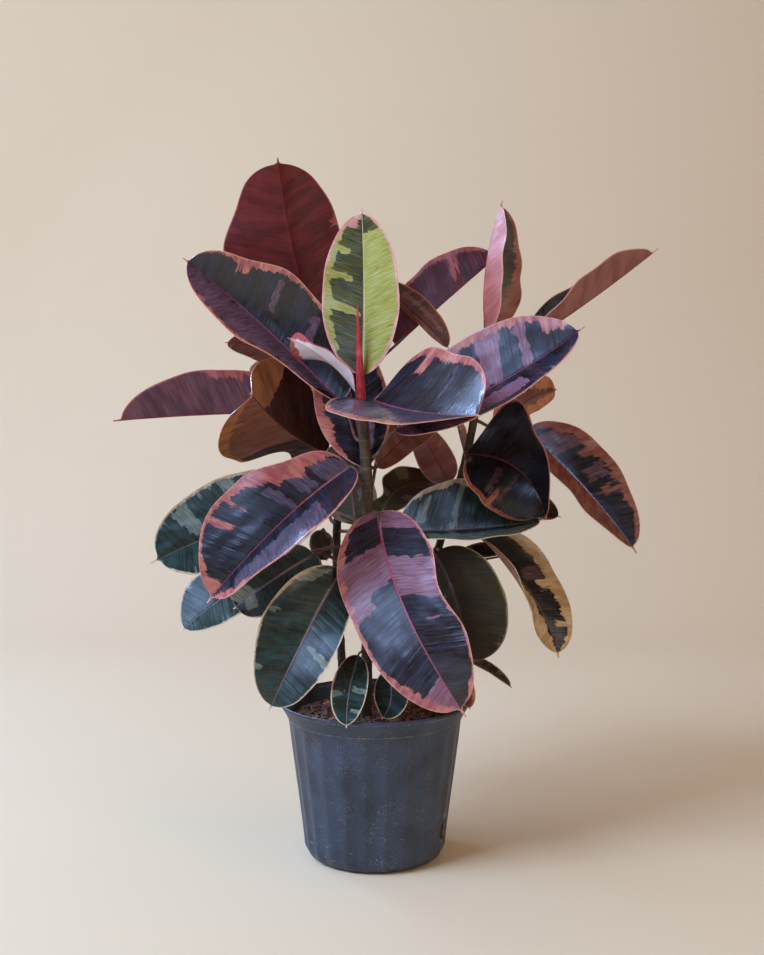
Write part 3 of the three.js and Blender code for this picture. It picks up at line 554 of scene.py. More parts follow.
# The two faces of a blade. Colours: the dark centre and its cooler cast, the paler patches and their
# warmer cast, the margin and its deeper cast, the thin edge, the midrib and the side veins. Then how
# rough the skin is and how much wax lies on it: the upper face is waxed, the underside nearly matt.
UPPER = table(leaf_face, (
    "ruby 130b0e 1d2032 4f333f 785a72 cd7f70 a9535c e3a594 a0456a 4d4a60 0.3 0.5",
    "mauve 181018 212436 7d4c62 96708c c9857a a35464 e3a79a ab4a72 6d5a78 0.3 0.5",
    "slate 17131b 1f2335 3c3a50 64546c c97d72 a6545c e3a594 a0456a 5a586e 0.28 0.58",
    "night 110a0c 171a27 3a2228 54404e a3605a 83433c c98a78 7a3448 3d3a4c 0.36 0.16",
    "rusty 1c0f12 20202f 4f333f 785a72 a0675c 864843 cfa393 8a4458 4d4a60 0.3 0.5",
    "green 1a2822 223e3c 526d64 8a8f8c c9baa0 a98a7c e0d0bc 7d6670 4d6a6c 0.3 0.5",
    "young 34330b 4c4c12 98962e b0b070 dca39c cf8888 e8b3aa d4c79a b9bd8c 0.38 0.2",
    "cream 171212 17262b 4a373a 635059 dcc4a0 c2a27a e4cca8 76525a 57504e 0.3 0.4",
    "copper 241509 3a2a12 5c3c22 6e5030 b06050 94453c cf8f7c 7a3a34 5a4028 0.34 0.3",
    "olive 32280f 3f3618 544a32 6b604a 8b7850 736242 a8966c 5f4a38 6a6048 0.6 0.05",
    "lilac d8cddb e2daea e8e0ec f0eaf2 b8535c 9c3a44 cc5a66 b8909c efe8f0 0.36 0.2",
))
UNDER = table(leaf_face, (
    "maroon 742428 5c1a1e 86484c 94605e b9625c 9c484a c4766c 7a0c22 8a4a48 0.55 0.05",
    # tan: its dark centre and cooler cast are painted shade, the shadow inside a cupped leaf, and its pale
    # patches and margin are the underside's tan brightened as painted light coming through the blade
    "tan 3c150f 240b07 74433a 8a5c48 ab734a 8f5a3c cf9c72 5c2024 8a5c48 0.5 0.05",
    "brown 80504a 6a3c36 946058 a8766a cf8e6a b4745a d8a488 6a2422 935a46 0.52 0.05",
    "olive 352a16 2c2512 564a32 6c5f48 84714e 6d5c40 a89070 5a4034 655640 0.55 0.05",
    "sage 4a4a42 3f403a 66625a 7a7168 a8947e 948070 c4b09a 785c5c 756c62 0.52 0.05",
    "dusk 653639 4c2629 7c5052 8f6466 a85650 8c4444 c4766c 6a1424 86585a 0.5 0.05",
    "wine 561318 3f0c11 66272c 784044 a0504c 86403c bc6c64 6a0c1c 743438 0.5 0.05",
    "ember 6a4236 4c342c 7c5044 8a5e52 ac5038 90402c c46c50 6a2418 7c4c3c 0.5 0.05",
    "rosewood 98635e 804f4c a8746e b88782 c4907e a8746a d2a894 7a3c3c a4706c 0.52 0.05",
    "rose bd6f69 ad605c cc8f86 dcaea4 c98478 b86c64 dda79a a84a50 d8a89e 0.5 0.04",
    "lilac d8cddb e2daea e8e0ec f0eaf2 b8535c 9c3a44 cc5a66 b8909c efe8f0 0.36 0.2",
))
UPPER_FACES = {key: finish_material("leaf_waxed_" + key, shade) for key, shade in UPPER.items()}
UNDER_FACES = {key: finish_material("leaf_underside_" + key, shade) for key, shade in UNDER.items()}


# The stalk of a leaf: fresh green to red skin, smooth with a faint sheen and fine lengthwise grain.
def shade_petiole(tree):
    place = object_place(tree)
    fine = noise(tree, place, 600)
    skin = mixed(tree, step_up(tree, noise(tree, place, 55, 3), 0.4, 0.62), "#5d3236", "#6b5a45")
    skin = mixed(tree, step_up(tree, fine, 0.55, 0.75), skin, "#8a6a5c")
    return {"Base Color": skin, "Roughness": 0.42, "Normal": bumped(tree, fine, 0.3, 0.0002)}


# Woody stem: grey-green to brown bark with small raised pores and a pale ring scar at each old leaf.
def shade_stem(tree):
    place = object_place(tree)
    drawn = drawn_out(tree, place, (1, 1, 0.25))
    patches = step_up(tree, noise(tree, drawn, 130, 4), 0.36, 0.62)
    pores = add(tree, "TexVoronoi", {"Vector": place, "Scale": 420})
    cracks = noise(tree, drawn, 900, 3)
    dots = ramp(tree, pores, 0.12, 0.22, 0.5, 0)
    scar = ramp(tree, attribute(tree, "ring"), 0.3, 1.1, 0.55, 0)
    bark = mixed(tree, patches, "#2c2016", "#4c3c28")
    bark = mixed(tree, step_up(tree, cracks, 0.5, 0.74), bark, "#5f4f3a")
    bark = mixed(tree, dots, bark, "#6f5e44")
    bark = mixed(tree, scar, bark, "#8d8068")
    relief = bumped(tree, maths(tree, "ADD", cracks, dots), 0.6, 0.0004)
    return {"Base Color": bark, "Roughness": 0.68, "Normal": relief}


# Leaf sheath: a thin papery bract, clear red and slightly glossy, paler in lengthwise veins.
def shade_sheath(tree):
    place = object_place(tree)
    lines = noise(tree, drawn_out(tree, place, (1, 1, 0.06)), 900)
    red = mixed(tree, step_up(tree, lines, 0.4, 0.62), "#a81f2e", "#d63a4c")
    red = mixed(tree, step_up(tree, noise(tree, place, 40), 0.5, 0.75), red, "#e0606a")
    return {"Base Color": red, "Roughness": 0.34, "Normal": bumped(tree, lines, 0.4, 0.0003)}


# Blow-moulded polyethylene, black with a slate cast: a satin skin with mould grain, fine pale specks of
# dust and lime all over, worn arrises on the flutes, a painted highlight along the collar's step and a
# few short scuffs near the foot.
def shade_pot(tree):
    place = object_place(tree)
    clouds = noise(tree, place, 24, 4)
    skin = mixed(tree, step_up(tree, clouds, 0.35, 0.65), "#243044", "#34425a")
    # dust: specks of about 0.5 mm, a few larger ones between them
    where = noise(tree, place, 34, 3)
    for spacing, least, most, strength in ((620, 0.1, 0.32, 0.75), (210, -0.05, 0.15, 0.85)):
        specks = add(tree, "TexVoronoi", {"Vector": place, "Scale": spacing})
        soft = maths(tree, "SUBTRACT", ramp(tree, where, 0.36, 0.7, least, most), specks)
        skin = mixed(tree, ramp(tree, soft, 0, 0.06, 0, strength), skin, "#8d95a3")
    marks = noise(tree, drawn_out(tree, place, (1, 1, 2.6)), 62, 5, 0.75)
    low = ramp(tree, add(tree, "SeparateXYZ", {0: place}, out="Z"), 0.02, 0.09, 1, 0)
    scuffs = maths(tree, "MULTIPLY", step_up(tree, marks, 0.61, 0.69), low)
    skin = mixed(tree, scuffs, skin, "#9aa0aa")
    # worn edges, and the painted highlight along the collar's step, in pale grey
    worn_and_lit = maths(tree, "MULTIPLY", attribute(tree, "wear_and_highlight"), noise(tree, place, 240, 4))
    skin = mixed(tree, step_up(tree, worn_and_lit, 0.22, 0.62), skin, "#8f949d")
    grain = maths(tree, "MULTIPLY_ADD", clouds, 2, noise(tree, place, 1300))
    return {
        "Base Color": skin, "Roughness": ramp(tree, clouds, 0.3, 0.7, 0.36, 0.5), "IOR": 1.52,
        "Normal": bumped(tree, grain, 0.35, 0.0005),
    }


# Bark potting mix: damp dark humus with crumbs, and composted pine bark chips from brown to tan.
def shade_soil(tree):
    place = object_place(tree)
    chip = attribute(tree, "chip")
    crumbs = noise(tree, place, 260, 5)
    grain = noise(tree, drawn_out(tree, place, (1, 0.3, 1)), 700, 3)
    earth = mixed(tree, step_up(tree, crumbs, 0.38, 0.62), "#3a2416", "#7a5238")
    bark = mixed(tree, step_up(tree, chip, 0.15, 1), "#482c1e", "#a06c4a")
    bark = mixed(tree, step_up(tree, grain, 0.52, 0.78), bark, "#a57a56")
    body = mixed(tree, step_up(tree, chip, 0.01, 0.06), earth, bark)
    relief = bumped(tree, maths(tree, "ADD", crumbs, grain), 0.8, 0.001)
    return {"Base Color": body, "Roughness": 0.9, "Normal": relief}


# Seamless studio paper: matt, pale and very slightly clouded.
def shade_paper(tree):
    sheet = mixed(tree, noise(tree, object_place(tree), 2), "#e4d2ba", "#e6d4bd")
    return {"Base Color": sheet, "Roughness": 0.9, "Specular IOR Level": 0.2}


PETIOLE = finish_material("petiole_skin", shade_petiole)
STEM = finish_material("stem_bark", shade_stem)
SHEATH = finish_material("sheath_red_bract", shade_sheath)
POT = finish_material("pot_moulded_polyethylene", shade_pot)
SOIL = finish_material("soil_bark_mix", shade_soil)


# Stems

STEM_LINES = {key: smooth_line(stem["line"], 24) for key, stem in STEMS.items()}


def stem_middle(key, height):
    line = STEM_LINES[key]
    return np.array([np.interp(height, line[:, 2], line[:, axis]) for axis in range(3)])


def make_stem(key):
    """A stem drawn up ring by ring, with a low swelling and a scar where each leaf leaves it."""
    stem = STEMS[key]
    low, high = stem["line"][0][2] + 0.5, stem["line"][-1][2] - 0.3
    scars = sorted(row["root"] for row in LEAVES.values() if row["stem"] == key)
    extra = [SOIL_LEVEL + 22 * k + (7 * k) % 5 for k in range(1, 9)]
    scars = sorted(scars + [e for e in extra if all(abs(e - s) > 9 for s in scars)])
    scars = [s for s in scars if s < high - 3]
    heights = set(np.arange(low, high, 7.0).tolist()) | {high}
    for scar in scars:
        heights |= {scar - 2.4, scar - 0.9, scar + 0.9, scar + 2.4}
    heights = [h for h in sorted(heights) if low <= h <= high]
    heights = [h for h, after in zip(heights, heights[1:] + [1e9]) if after - h > 0.5]
    rng = np.random.default_rng(11)
    levels = []
    for h in heights:
        near = min(abs(h - s) for s in scars)
        swollen = 0.55 * math.exp(-((near / 2.2) ** 2)) - 0.25
        levels.append((*stem_middle(key, h), stem["radius"] + swollen + rng.uniform(-0.12, 0.12)))
    piece = rings("stem_%s_bark" % key, STEM_SIDES, levels)
    points = read_points(piece.data)
    write_attribute(piece.data, "ring", np.min([np.abs(points[:, 2] - s) for s in scars], axis=0))
    hand_over(piece, "stem_" + key, 60, STEM)


def make_sheath():
    """A slender pointed bract rolled round the bud, a little flattened, with one lapping edge."""
    base, tip = np.array(SHEATH_BASE, float), np.array(SHEATH_TIP, float)
    levels = [(*(base + (tip - base) * h), r * SHEATH_RADIUS) for h, r in SHEATH_PROFILE]
    piece = rings("sheath_bract", SHEATH_SIDES, levels)
    points = read_points(piece.data)
    share = np.clip((points[:, 2] - base[2]) / (tip[2] - base[2]), 0, 1)[:, None]
    middle = base + (tip - base) * share
    out = points - middle
    turn = np.arctan2(out[:, 1], out[:, 0])
    lap = ((turn - 2.2 * share[:, 0] + 2.4) / (2 * math.pi)) % 1
    out *= (0.9 + 0.1 * lap)[:, None]
    write_points(piece.data, middle + out)
    hand_over(piece, "sheath", 55, SHEATH)


# Leaves


def outline(u, leaf):
    bend = math.log(0.5) / math.log(leaf["bulge"])
    s = np.minimum(1, u / (1 - SPUR / 2)) ** bend
    body = np.sqrt(np.maximum(0, 1 - (2 * s - 1) ** 2))
    shaped = body ** np.where(s < 0.5, leaf["base"], leaf["point"])
    spur = np.where(s > 0.5, 0.1 * np.minimum(1, (1 - u) / (2.5 * SPUR)) ** 0.9, 0)
    return np.hypot(shaped, spur)


def swell(u, shares):
    factor = np.ones_like(u)
    for share, place in zip(shares, (0.25, 0.5, 0.75)):
        off = u - place
        factor += np.where(np.abs(off) < 0.25, (share - 1) * np.cos(math.pi * off / 0.5) ** 2, 0)
    return factor


def half_widths(leaf, u, v):
    """Width of the half that each point is on, in millimetres."""
    wide = np.where(v >= 0, swell(u, leaf["right"]), swell(u, leaf["left"]))
    return np.maximum(leaf["width"] / 2 * outline(u, leaf) * wide, np.where(u < 0.5, 1.1, 0.5))


def rib_frame(leaf, u):
    """The midrib at places along it, and the ways along, across and out of the blade."""
    neck, belly, tip = leaf["points"]
    handle = 2 * belly - (neck + tip) / 2
    t = u[:, None]
    middle = (1 - t) ** 2 * neck + 2 * t * (1 - t) * handle + t**2 * tip
    along = unit((1 - t) * (handle - neck) + t * (tip - handle))
    across = unit(np.cross(along, direction(*leaf["face"])))
    up = np.cross(across, along)
    twist = (math.radians(leaf["twist"]) * (2 * u - 1))[:, None]
    side = across * np.cos(twist) + up * np.sin(twist)
    normal = up * np.cos(twist) - across * np.sin(twist)
    return middle, along, side, normal


def blade(leaf, u, v, seed):
    """Points of the blade's middle surface, u along it and v across it."""
    middle, _, side, normal = rib_frame(leaf, u)
    right = v >= 0
    away = np.abs(v) * half_widths(leaf, u, v)
    fold, curl = (np.radians(np.where(right, leaf[key][1], leaf[key][0])) for key in ("fold", "curl"))
    bend = curl * away / (leaf["width"] / 2)
    lean = fold + bend / 2
    short = np.sinc(bend / 2 / math.pi)
    wave = np.sin(2 * math.pi * (2 * u + np.where(right, 0.25, 0))) * np.sin(math.pi * u)
    lift = away * short * np.sin(lean) + leaf["wave"] * v**2 * wave
    # the margin of a real blade runs a little up and down, and the blade sags softly in places
    small = min(1, leaf["width"] / 110)
    edge = np.sin(2 * math.pi * (3.3 * u + 0.37 * seed + np.where(right, 0.4, 0))) * np.sin(math.pi * u)
    lift = lift + small * (1.3 * v**2 * edge + 0.9 * np.abs(v) * ripple(u * 200, v * 60, 70, seed))
    level = np.where(right, 1, -1) * away * short * np.cos(lean)
    return middle + side * level[:, None] + normal * lift[:, None]


def petiole_line(leaf, radius):
    """From the stem's skin to the blade, then on under the midrib."""
    middle = stem_middle(leaf["stem"], leaf["root"])
    neck = leaf["points"][0]
    away = (neck - middle) * (1, 1, 0) if leaf["away"] is None else direction(leaf["away"], 0)
    rise = unit(stem_middle(leaf["stem"], leaf["root"] + 3) - middle)
    away = unit(unit(away) - rise * np.dot(unit(away), rise))
    root = middle + away * (STEMS[leaf["stem"]]["radius"] + 0.2)
    length = np.linalg.norm(neck - root)
    _, along, _, _ = rib_frame(leaf, np.array([0.0]))
    out = root + away * min(14, length * 0.35)
    back = neck - along[0] * length * 0.35
    line = [
        (1 - t) ** 3 * root + 3 * t * (1 - t) ** 2 * out + 3 * t**2 * (1 - t) * back + t**3 * neck
        for t in (0, 0.2, 0.4, 0.6, 0.8, 1)
    ]
    line.insert(1, root + away * 1.2)
    places = np.array([RIB_REACH / 2, RIB_REACH])
    middles, _, _, normals = rib_frame(leaf, places)
    for place, point, normal in zip(places, middles, normals):
        line.append(point - normal * radius * 0.55 * place / RIB_REACH)
    return smooth_line(line, 4)


def make_petiole(name, leaf, small):
    radius = SMALL_PETIOLE_RADIUS if small else PETIOLE_RADIUS
    line = petiole_line(leaf, radius)
    pick()
    bpy.ops.curve.primitive_nurbs_path_add()
    stalk = bpy.context.object
    stalk.name = name + "_stalk"
    stalk.location = (0, 0, 0)
    shape = stalk.data
    shape.splines.clear()
    spline = shape.splines.new("POLY")
    spline.points.add(len(line) - 1)
    for i, (dot, point) in enumerate(zip(spline.points, line)):
        share = i / (len(line) - 1)
        dot.co = (*(point * MM), 1)
        dot.radius = 1.12 - 0.2 * share if share < 0.8 else max(0.3, 0.96 - 3.1 * (share - 0.8))
    shape.bevel_depth = radius * MM
    shape.bevel_resolution = 1 if small else 2
    shape.use_fill_caps = True
    bpy.ops.object.convert(target="MESH")
    stalk.data.materials.append(PETIOLE)
    return stalk


def seeded_patches(rng):
    """Four patches for a leaf whose look names none."""
    plans = []
    for _ in range(4):
        start, inner = rng.uniform(0.08, 0.8), rng.uniform(0, 0.5)
        kind = "light" if rng.uniform() < 0.3 else "pale"
        side = rng.choice(["L", "R"])
        plans.append((side, start, start + rng.uniform(0.05, 0.16), inner, inner + 0.6, kind))
    return plans


def paint_plan(leaf, u, v, seed):
    """Where the dark centre, the paler patches and the light margin lie, in millimetres."""
    rng = np.random.default_rng(100 + seed)
    wide = half_widths(leaf, u, v)
    neck, belly, tip = leaf["points"]
    length = np.linalg.norm(belly - neck) + np.linalg.norm(tip - belly)
    share = np.abs(v)
    away = share * wide
    along = u * length - VEIN_LEAN * away
    halves = []
    for plan in leaf["dark"]:
        if plan is None:
            start = rng.uniform(0.62, 0.86)
            plan = [min(0.98, start + rng.uniform(-0.16, 0.12)) for _ in STATIONS]
        halves.append(np.interp(u, STATIONS, plan))
    light = away - np.where(v >= 0, halves[1], halves[0]) * wide
    patch = np.full_like(light, leaf["pale"])
    plans = seeded_patches(rng) if leaf["patches"] is None else leaf["patches"]
    slant = along / length
    for side, start, end, inner, outer, kind in plans:
        lengthwise = np.minimum(slant - start, end - slant) * length
        inside = np.minimum(lengthwise, np.minimum(share - inner, outer - share) * wide)
        there = (v >= 0) == (side == "R")
        if kind == "light":
            light = np.where(there, np.maximum(light, inside), light)
        else:
            fill = np.clip(inside * 2.2 + 3, -7, 16) - 0.4 * np.minimum(light, 0)
            patch = np.where(there & (inside > -2), np.maximum(patch, fill), patch)
    rib = share * wide / ((0.7 if leaf["width"] < SMALL_WIDTH else 1.25) * (1 - u) + 0.35)
    vein = np.column_stack([along, away * np.where(v >= 0, 1, -1), np.full_like(u, seed * 13.7)])
    zone = np.column_stack([(1 - share) * wide, light, rib])
    return vein, zone, patch


def make_leaf(name, leaf, seed):
    small = leaf["width"] < SMALL_WIDTH
    pick()
    cuts = SMALL_GRID if small else BLADE_GRID
    bpy.ops.mesh.primitive_grid_add(x_subdivisions=cuts[0], y_subdivisions=cuts[1], location=(0, 0, 0))
    piece = bpy.context.object
    piece.name = name + "_leaf"
    mesh = piece.data
    flat = read_points(mesh) * MM
    u = (1 - np.cos(math.pi * (flat[:, 0] + 1) / 2)) / 2
    v = -np.sign(flat[:, 1]) * np.abs(flat[:, 1]) ** 1.6
    surface = blade(leaf, u, v, seed)
    write_points(mesh, surface)
    normals = np.zeros(len(mesh.vertices) * 3)
    mesh.vertices.foreach_get("normal", normals)
    normals = normals.reshape(-1, 3)

    wall = piece.modifiers.new("wall", "SOLIDIFY")
    wall.thickness = BLADE_THICKNESS * MM
    wall.offset = 0
    wall.material_offset = 1
    usual = FACES[leaf["tone"]]
    for faces, key, other in ((UPPER_FACES, "upper", usual[0]), (UNDER_FACES, "under", usual[1])):
        mesh.materials.append(faces[other if leaf[key] == "-" else leaf[key]])
    apply_modifiers(piece)
    mesh = piece.data
    points = read_points(mesh)
    count = len(u)
    upper, under = slice(0, count), slice(count, 2 * count)
    if np.sum((points[:count] - surface) * normals) <= 0:
        upper, under = under, upper
    off_rib = np.abs(v) * half_widths(leaf, u, v)
    groove = RIB_GROOVE * bell(off_rib, 1.1) * (1 - 0.6 * u)
    ridge = (SMALL_RIB_RIDGE if small else RIB_RIDGE) * bell(off_rib, 1.5) * (1 - 0.85 * u)
    points[upper] -= normals * groove[:, None]
    points[under] -= normals * ridge[:, None]
    write_points(mesh, points)
    vein, zone, patch = paint_plan(leaf, u, v, seed)
    write_attribute(mesh, "vein", np.tile(vein, (2, 1)))
    write_attribute(mesh, "zone", np.tile(zone, (2, 1)))
    write_attribute(mesh, "patch", np.tile(patch, 2))
    join(piece, make_petiole(name, leaf, small))
    hand_over(piece, "leaf_" + name, 55)


# Pot


def flute_depth(height):
    low = FLUTE_FOOT_SHARE + (1 - FLUTE_FOOT_SHARE) * smoothstep(height, 2, 18)
    high = 1 - smoothstep(height, COLLAR_BOTTOM - 14, COLLAR_BOTTOM - 1)
    return FLUTE_DEPTH * np.minimum(low, high)


def make_drain_cutter():
    cutters = []
    for turn in DRAIN_ANGLES:
        pick()
        bpy.ops.mesh.primitive_cylinder_add(vertices=40, radius=0.5, depth=1, location=(0, 0, 0))
        hole = bpy.context.object
        hole.scale = (DRAIN_HEIGHT * MM, DRAIN_WIDTH * MM, 0.03)
        hole.rotation_euler = (0, math.radians(90), math.radians(turn))
        middle = direction(turn, 0) * BODY_LOW_RADIUS * MM
        hole.location = (middle[0], middle[1], DRAIN_LEVEL * MM)
        apply_place(hole)
        cutters.append(hole)
    return join(*cutters)


def round_points(mesh):
    points = read_points(mesh)
    return points, np.hypot(points[:, 0], points[:, 1]), np.arctan2(points[:, 1], points[:, 0])


def make_pot():
    foot, low, body, rim = FOOT_RADIUS, BODY_LOW_RADIUS, BODY_TOP_RADIUS, RIM_RADIUS
    top, high, wall = COLLAR_BOTTOM, POT_HEIGHT, POT_WALL
    outside = [
        (60, 0), (foot, 0), (foot + 4.6, 0.8), (foot + 8.5, 2.8), (foot + 11.4, 5.3), (foot + 13.6, 8.5),
        (low - 2.2, 12.2), (low - 1, 16), (low - 0.3, 21), (low, BODY_LOW_HEIGHT), (low + 1.2, 36),
        (97.9, 46), (99.2, 56), (101.8, 76), (104.2, 94), (body - 10, 107), (108.2, 124), (110.4, 141),
        (112.6, 158), (body - 1.4, top - 12), (body - 0.9, top - 8), (body - 0.4, top - 4.2),
        (body - 0.1, top - 1.8), (body - 0.5, top - 1.0), (body + 0.2, top - 0.4), (body + 1, top + 0.5),
        (118.9, 191.4), (121.6, 196.5), (124.3, 201), (rim - 1.6, high - 5.6), (rim - 1.1, high - 4.9),
        (rim - 0.2, high - 4.2), (rim, high - 2.6), (rim - 0.2, high - 1.2), (rim - 0.9, high - 0.3),
        (rim - 2, high),
    ]
    inside = [
        (rim - 3, high - 0.4), (rim - RIM_THICKNESS, high - 1.7), (rim - RIM_THICKNESS, high - 4.5),
        (119, 196), (body + 1 - wall, top + 0.5), (body - 1.4 - wall, top - 12), (body - 10 - wall, 107),
        (97 - wall, 46), (low - wall, BODY_LOW_HEIGHT), (low - 1 - wall, 16.5), (foot + 12 - wall, 9.6),
        (foot - 1, wall + 1.6), (foot - 12, wall),
    ]
    pot = rings("pot_moulded", POT_SIDES, [(0, 0, z, r) for r, z in outside + inside])
    points, radius, turn = round_points(pot.data)
    press = np.abs(np.cos(turn * FLUTES / 2))
    dent = np.where(radius > 70, flute_depth(points[:, 2]) * press**1.25, 0)
    # blown plastic is never quite round: the body wavers by a few tenths of a millimetre
    waver = 0.35 * np.sin(3 * turn + 0.6) * smoothstep(points[:, 2], 30, 120) * (radius > 70)
    points[:, :2] *= ((radius - dent - np.abs(waver)) / np.maximum(radius, 1))[:, None]
    write_points(pot.data, points)

    cutter = make_drain_cutter()
    cut = pot.modifiers.new("drain", "BOOLEAN")
    cut.operation = "DIFFERENCE"
    cut.object = cutter
    cut.solver = "EXACT"
    apply_modifiers(pot)
    bpy.data.objects.remove(cutter)

    # the arrises, the rim, the foot and the drain holes' edges are worn paler, and a pale line along the
    # collar's step is a painted highlight
    points, radius, turn = round_points(pot.data)
    height = points[:, 2]
    crest = 1 - np.abs(np.cos(turn * FLUTES / 2))
    rubs_and_highlight = [
        np.where((height < top - 3) & (height > 6), 0.55 * crest**3, 0),
        # a painted highlight along the collar's step
        0.95 * bell(height - (top - 1), 0.9) * (radius > 112),
        0.8 * bell(height - (high - 4.6), 1.0) * (radius > 120),
        0.75 * bell(height, 2.5),
    ]
    for angle in DRAIN_ANGLES:
        across = low * np.angle(np.exp(1j * (turn - math.radians(angle))))
        shape = np.hypot(across / (DRAIN_WIDTH / 2), (height - DRAIN_LEVEL) / (DRAIN_HEIGHT / 2))
        rubs_and_highlight.append(0.9 * (np.abs(shape - 1.0) < 0.06) * (radius > 90))
    write_attribute(pot.data, "wear_and_highlight", np.max(rubs_and_highlight, axis=0))
    hand_over(pot, "pot", 38, POT)


# Soil


def spin(angle, first, second):
    """A turn in the plane of two axes."""
    made = np.identity(3)
    made[first, first] = made[second, second] = math.cos(angle)
    made[first, second], made[second, first] = -math.sin(angle), math.sin(angle)
    return made


def make_chips():
    """Bark chips on the soil: one chip split along its grain, then copied in many sizes."""
    pick()
    bpy.ops.mesh.primitive_cube_add(size=1, location=(0, 0, 0))
    chip = bpy.context.object
    bpy.ops.object.mode_set(mode="EDIT")
    bpy.ops.mesh.select_all(action="SELECT")
    bpy.ops.transform.resize(value=(1.0, 0.62, 0.34))
    bpy.ops.mesh.subdivide(number_cuts=1, fractal=0.35, fractal_along_normal=0.0, seed=4)
    bpy.ops.mesh.bevel(offset=0.05, segments=1)
    bpy.ops.object.mode_set(mode="OBJECT")
    mould = read_points(chip.data) * MM
    faces = [tuple(face.vertices) for face in chip.data.polygons]
    bpy.data.objects.remove(chip)
    rng = np.random.default_rng(21)
    sizes, odds = list(CHIP_LENGTHS), list(CHIP_LENGTHS.values())
    corners, cells, tones = [], [], []
    for _ in range(BARK_CHIPS):
        reach = (SOIL_RADIUS - 6) * math.sqrt(rng.uniform())
        turn = rng.uniform(0, 2 * math.pi)
        x, y = reach * math.cos(turn), reach * math.sin(turn)
        long = rng.choice(sizes, p=odds) * rng.uniform(0.8, 1.2)
        shape = mould * long * rng.uniform(0.75, 1.2, 3)
        shape = shape + 0.09 * long * np.sin(mould[:, [1, 2, 0]] * rng.uniform(4, 9) + rng.uniform(0, 6))
        yaw, tilt, roll = rng.uniform(0, 2 * math.pi), rng.normal(0, 0.35), rng.normal(0, 0.35)
        shape = shape @ (spin(yaw, 0, 1) @ spin(tilt, 1, 2) @ spin(roll, 2, 0)).T
        middles = {key: stem_middle(key, SOIL_LEVEL)[:2] for key in STEMS}
        room = [np.hypot(*(middle - (x, y))) - STEMS[key]["radius"] for key, middle in middles.items()]
        if min(room) < long * 0.55:
            continue
        here = np.array([x]), np.array([y])
        lump = sum(tall * ripple(*here, size, seed)[0] for tall, size, seed in LUMPS[:2])
        level = SOIL_LEVEL + min(LUMP_HIGH, max(LUMP_LOW, lump)) + 0.06 * long
        start = len(corners) * len(mould)
        corners.append(shape + (x, y, level))
        cells += [tuple(start + i for i in face) for face in faces]
        tones += [rng.uniform(0.08, 1) ** 1.5 * 0.92 + 0.07] * len(mould)
    spread = bpy.data.meshes.new("bark")
    spread.from_pydata(np.vstack(corners) * MM, [], cells)
    bark = bpy.data.objects.new("bark", spread)
    bpy.context.collection.objects.link(bark)
    write_attribute(spread, "chip", np.array(tones))
    return bark


def make_soil():
    gap = SOIL_GAP + FLUTE_DEPTH
    skin = POT_WALL + gap
    foot, low, body = FOOT_RADIUS, BODY_LOW_RADIUS, BODY_TOP_RADIUS
    wall = [
        (foot - 12 - gap, POT_WALL + 0.3), (foot - 1 - gap, POT_WALL + 1.9), (foot + 12 - skin, 9.9),
        (low - 1 - skin, 16.8), (low - skin, 26.3), (94.2 - gap, 46.3), (body - 10 - skin, 107.3),
        (body - 1.4 - skin, COLLAR_BOTTOM - 11.7),
    ]
    top = [(SOIL_RADIUS * share, SOIL_LEVEL - 0.8 * (share > 0.99)) for share in np.linspace(1, 0.02, 40)]
    soil = rings("soil_humus", 120, [(0, 0, z, r) for r, z in wall + top])
    points = read_points(soil.data)
    x, y, z = points.T
    upper = smoothstep(z, SOIL_LEVEL - 1.5, SOIL_LEVEL - 0.9)
    bumps = sum(tall * ripple(x, y, size, seed) for tall, size, seed in LUMPS)
    points[:, 2] += upper * np.clip(bumps, LUMP_LOW, LUMP_HIGH)
    write_points(soil.data, points)
    write_attribute(soil.data, "chip", np.zeros(len(points)))
    join(soil, make_chips())
    hand_over(soil, "soil", 40, SOIL)


# Stage, light and camera

# Name, place, aim, width, height, power and colour. The panes stand for windows that only the glossy
# leaves mirror, and the large window is the one lamp that they don't mirror.
LAMPS = (
    ("window", (-2.46, -1.66, 3.13), (0, 0, 0.45), 1.8, 1.8, 167, "#c2dfff"),
    ("side_window", (-2.82, -0.1, 1.95), (0, 0, 0.45), 1.6, 1.6, 40, "#bddcff"),
    ("back_window", (-1.5, 1.25, 1.9), (0, 0, 0.45), 0.6, 0.6, 15, "#acd2ff"),
    ("room", (2.0, -1.6, 1.1), (0, 0, 0.45), 1.2, 1.2, 9, "#ffebdb"),
    ("front_pane", (-0.4, -2.8, 1.75), (0, 0, 0.45), 1.45, 1.15, 36, "#aecbff"),
    ("left_pane", (-2.46, -1.66, 3.13), (0, 0, 0.45), 1.8, 1.8, 60, "#aecbff"),
    ("back_pane", (-1.75, 1.4, 2.1), (0, 0, 0.5), 0.9, 0.8, 72, "#aecbff"),
)


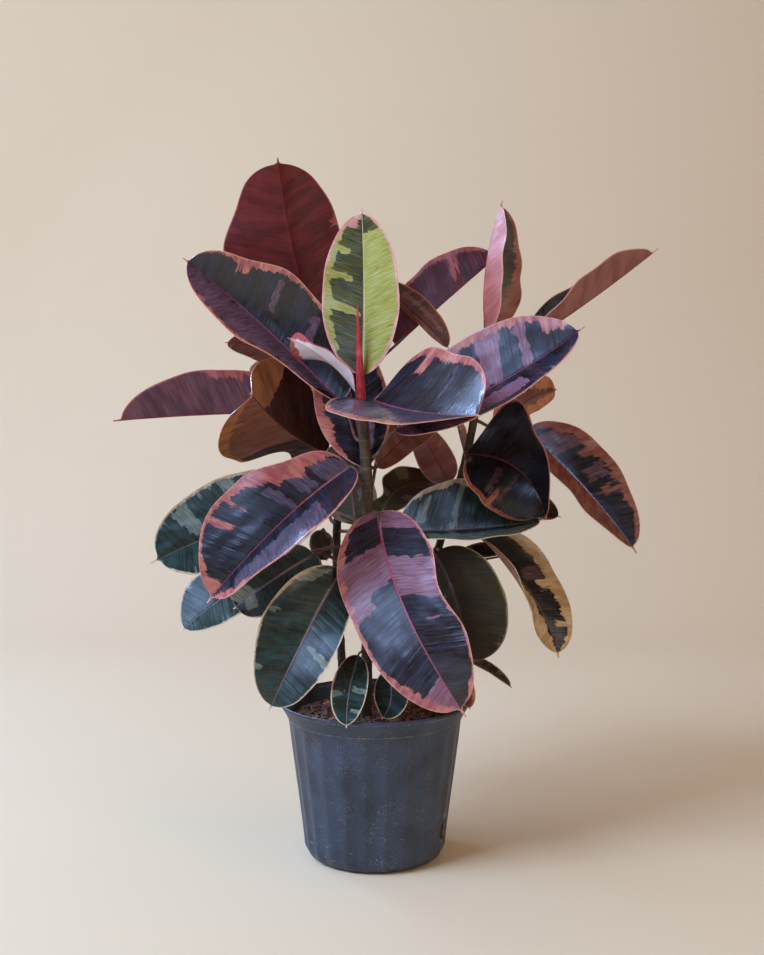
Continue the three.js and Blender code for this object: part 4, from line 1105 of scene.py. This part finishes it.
def make_backdrop():
    """A sheet of paper that runs from in front of the camera to the back, then bends up."""
    pick()
    bpy.ops.mesh.primitive_grid_add(x_subdivisions=24, y_subdivisions=80, location=(0, 0, 0))
    floor = bpy.context.object
    floor.name = "backdrop"
    flat = read_points(floor.data) * MM
    run = (flat[:, 1] + 1) * BACKDROP_LENGTH - BACKDROP_LENGTH
    over = np.clip(run - BACKDROP_FLAT, 0, None)
    turn = np.minimum(over / BACKDROP_BEND, math.pi / 2)
    y = np.minimum(run, BACKDROP_FLAT) + BACKDROP_BEND * np.sin(turn)
    z = BACKDROP_BEND * (1 - np.cos(turn)) + np.clip(over - BACKDROP_BEND * math.pi / 2, 0, None)
    write_points(floor.data, np.column_stack([flat[:, 0] * BACKDROP_WIDTH, y, z]))
    bpy.ops.object.shade_smooth()
    floor.data.materials.append(finish_material("backdrop_paper", shade_paper))


def make_lamp(name, place, aim, wide, tall, power, colour):
    pick()
    bpy.ops.object.light_add(type="AREA", location=place)
    lamp = bpy.context.object
    lamp.name = name
    lamp.data.shape = "RECTANGLE"
    lamp.data.size, lamp.data.size_y = wide, tall
    lamp.data.energy = power
    lamp.data.color = linear(colour)[:3]
    lamp.visible_diffuse = not name.endswith("pane")
    lamp.visible_glossy = name != "window"
    away = np.array(lamp.location) - np.array(aim)
    lamp.rotation_euler = (
        math.atan2(math.hypot(away[0], away[1]), away[2]), 0, math.atan2(away[0], -away[1]),
    )


def make_world():
    """A warm dim room, which the leaves mirror only faintly."""
    world = bpy.data.worlds.new("room")
    bpy.context.scene.world = world
    world.use_nodes = True
    tree = world.node_tree
    sky = tree.nodes["Background"]
    sky.inputs["Color"].default_value = linear("#ffdaac")
    glossy = add(tree, "LightPath", out="Is Glossy Ray")
    tree.links.new(ramp(tree, glossy, 0, 1, 0.36, 0.07), sky.inputs["Strength"])


def make_camera():
    pick()
    rotation = (math.radians(90 - CAMERA_DOWN), 0, math.radians(CAMERA_TURN))
    bpy.ops.object.camera_add(location=CAMERA_PLACE, rotation=rotation)
    camera = bpy.context.object
    camera.data.lens = CAMERA_LENS
    camera.data.clip_end = 20
    bpy.context.scene.camera = camera


make_camera()
make_backdrop()
for lamp_row in LAMPS:
    make_lamp(*lamp_row)
make_world()
make_pot()
make_soil()
for stem_key in STEMS:
    make_stem(stem_key)
make_sheath()
for number, (leaf_name, leaf_row) in enumerate(LEAVES.items()):
    make_leaf(leaf_name, leaf_row, number)

bpy.context.scene.view_settings.view_transform = "Standard"
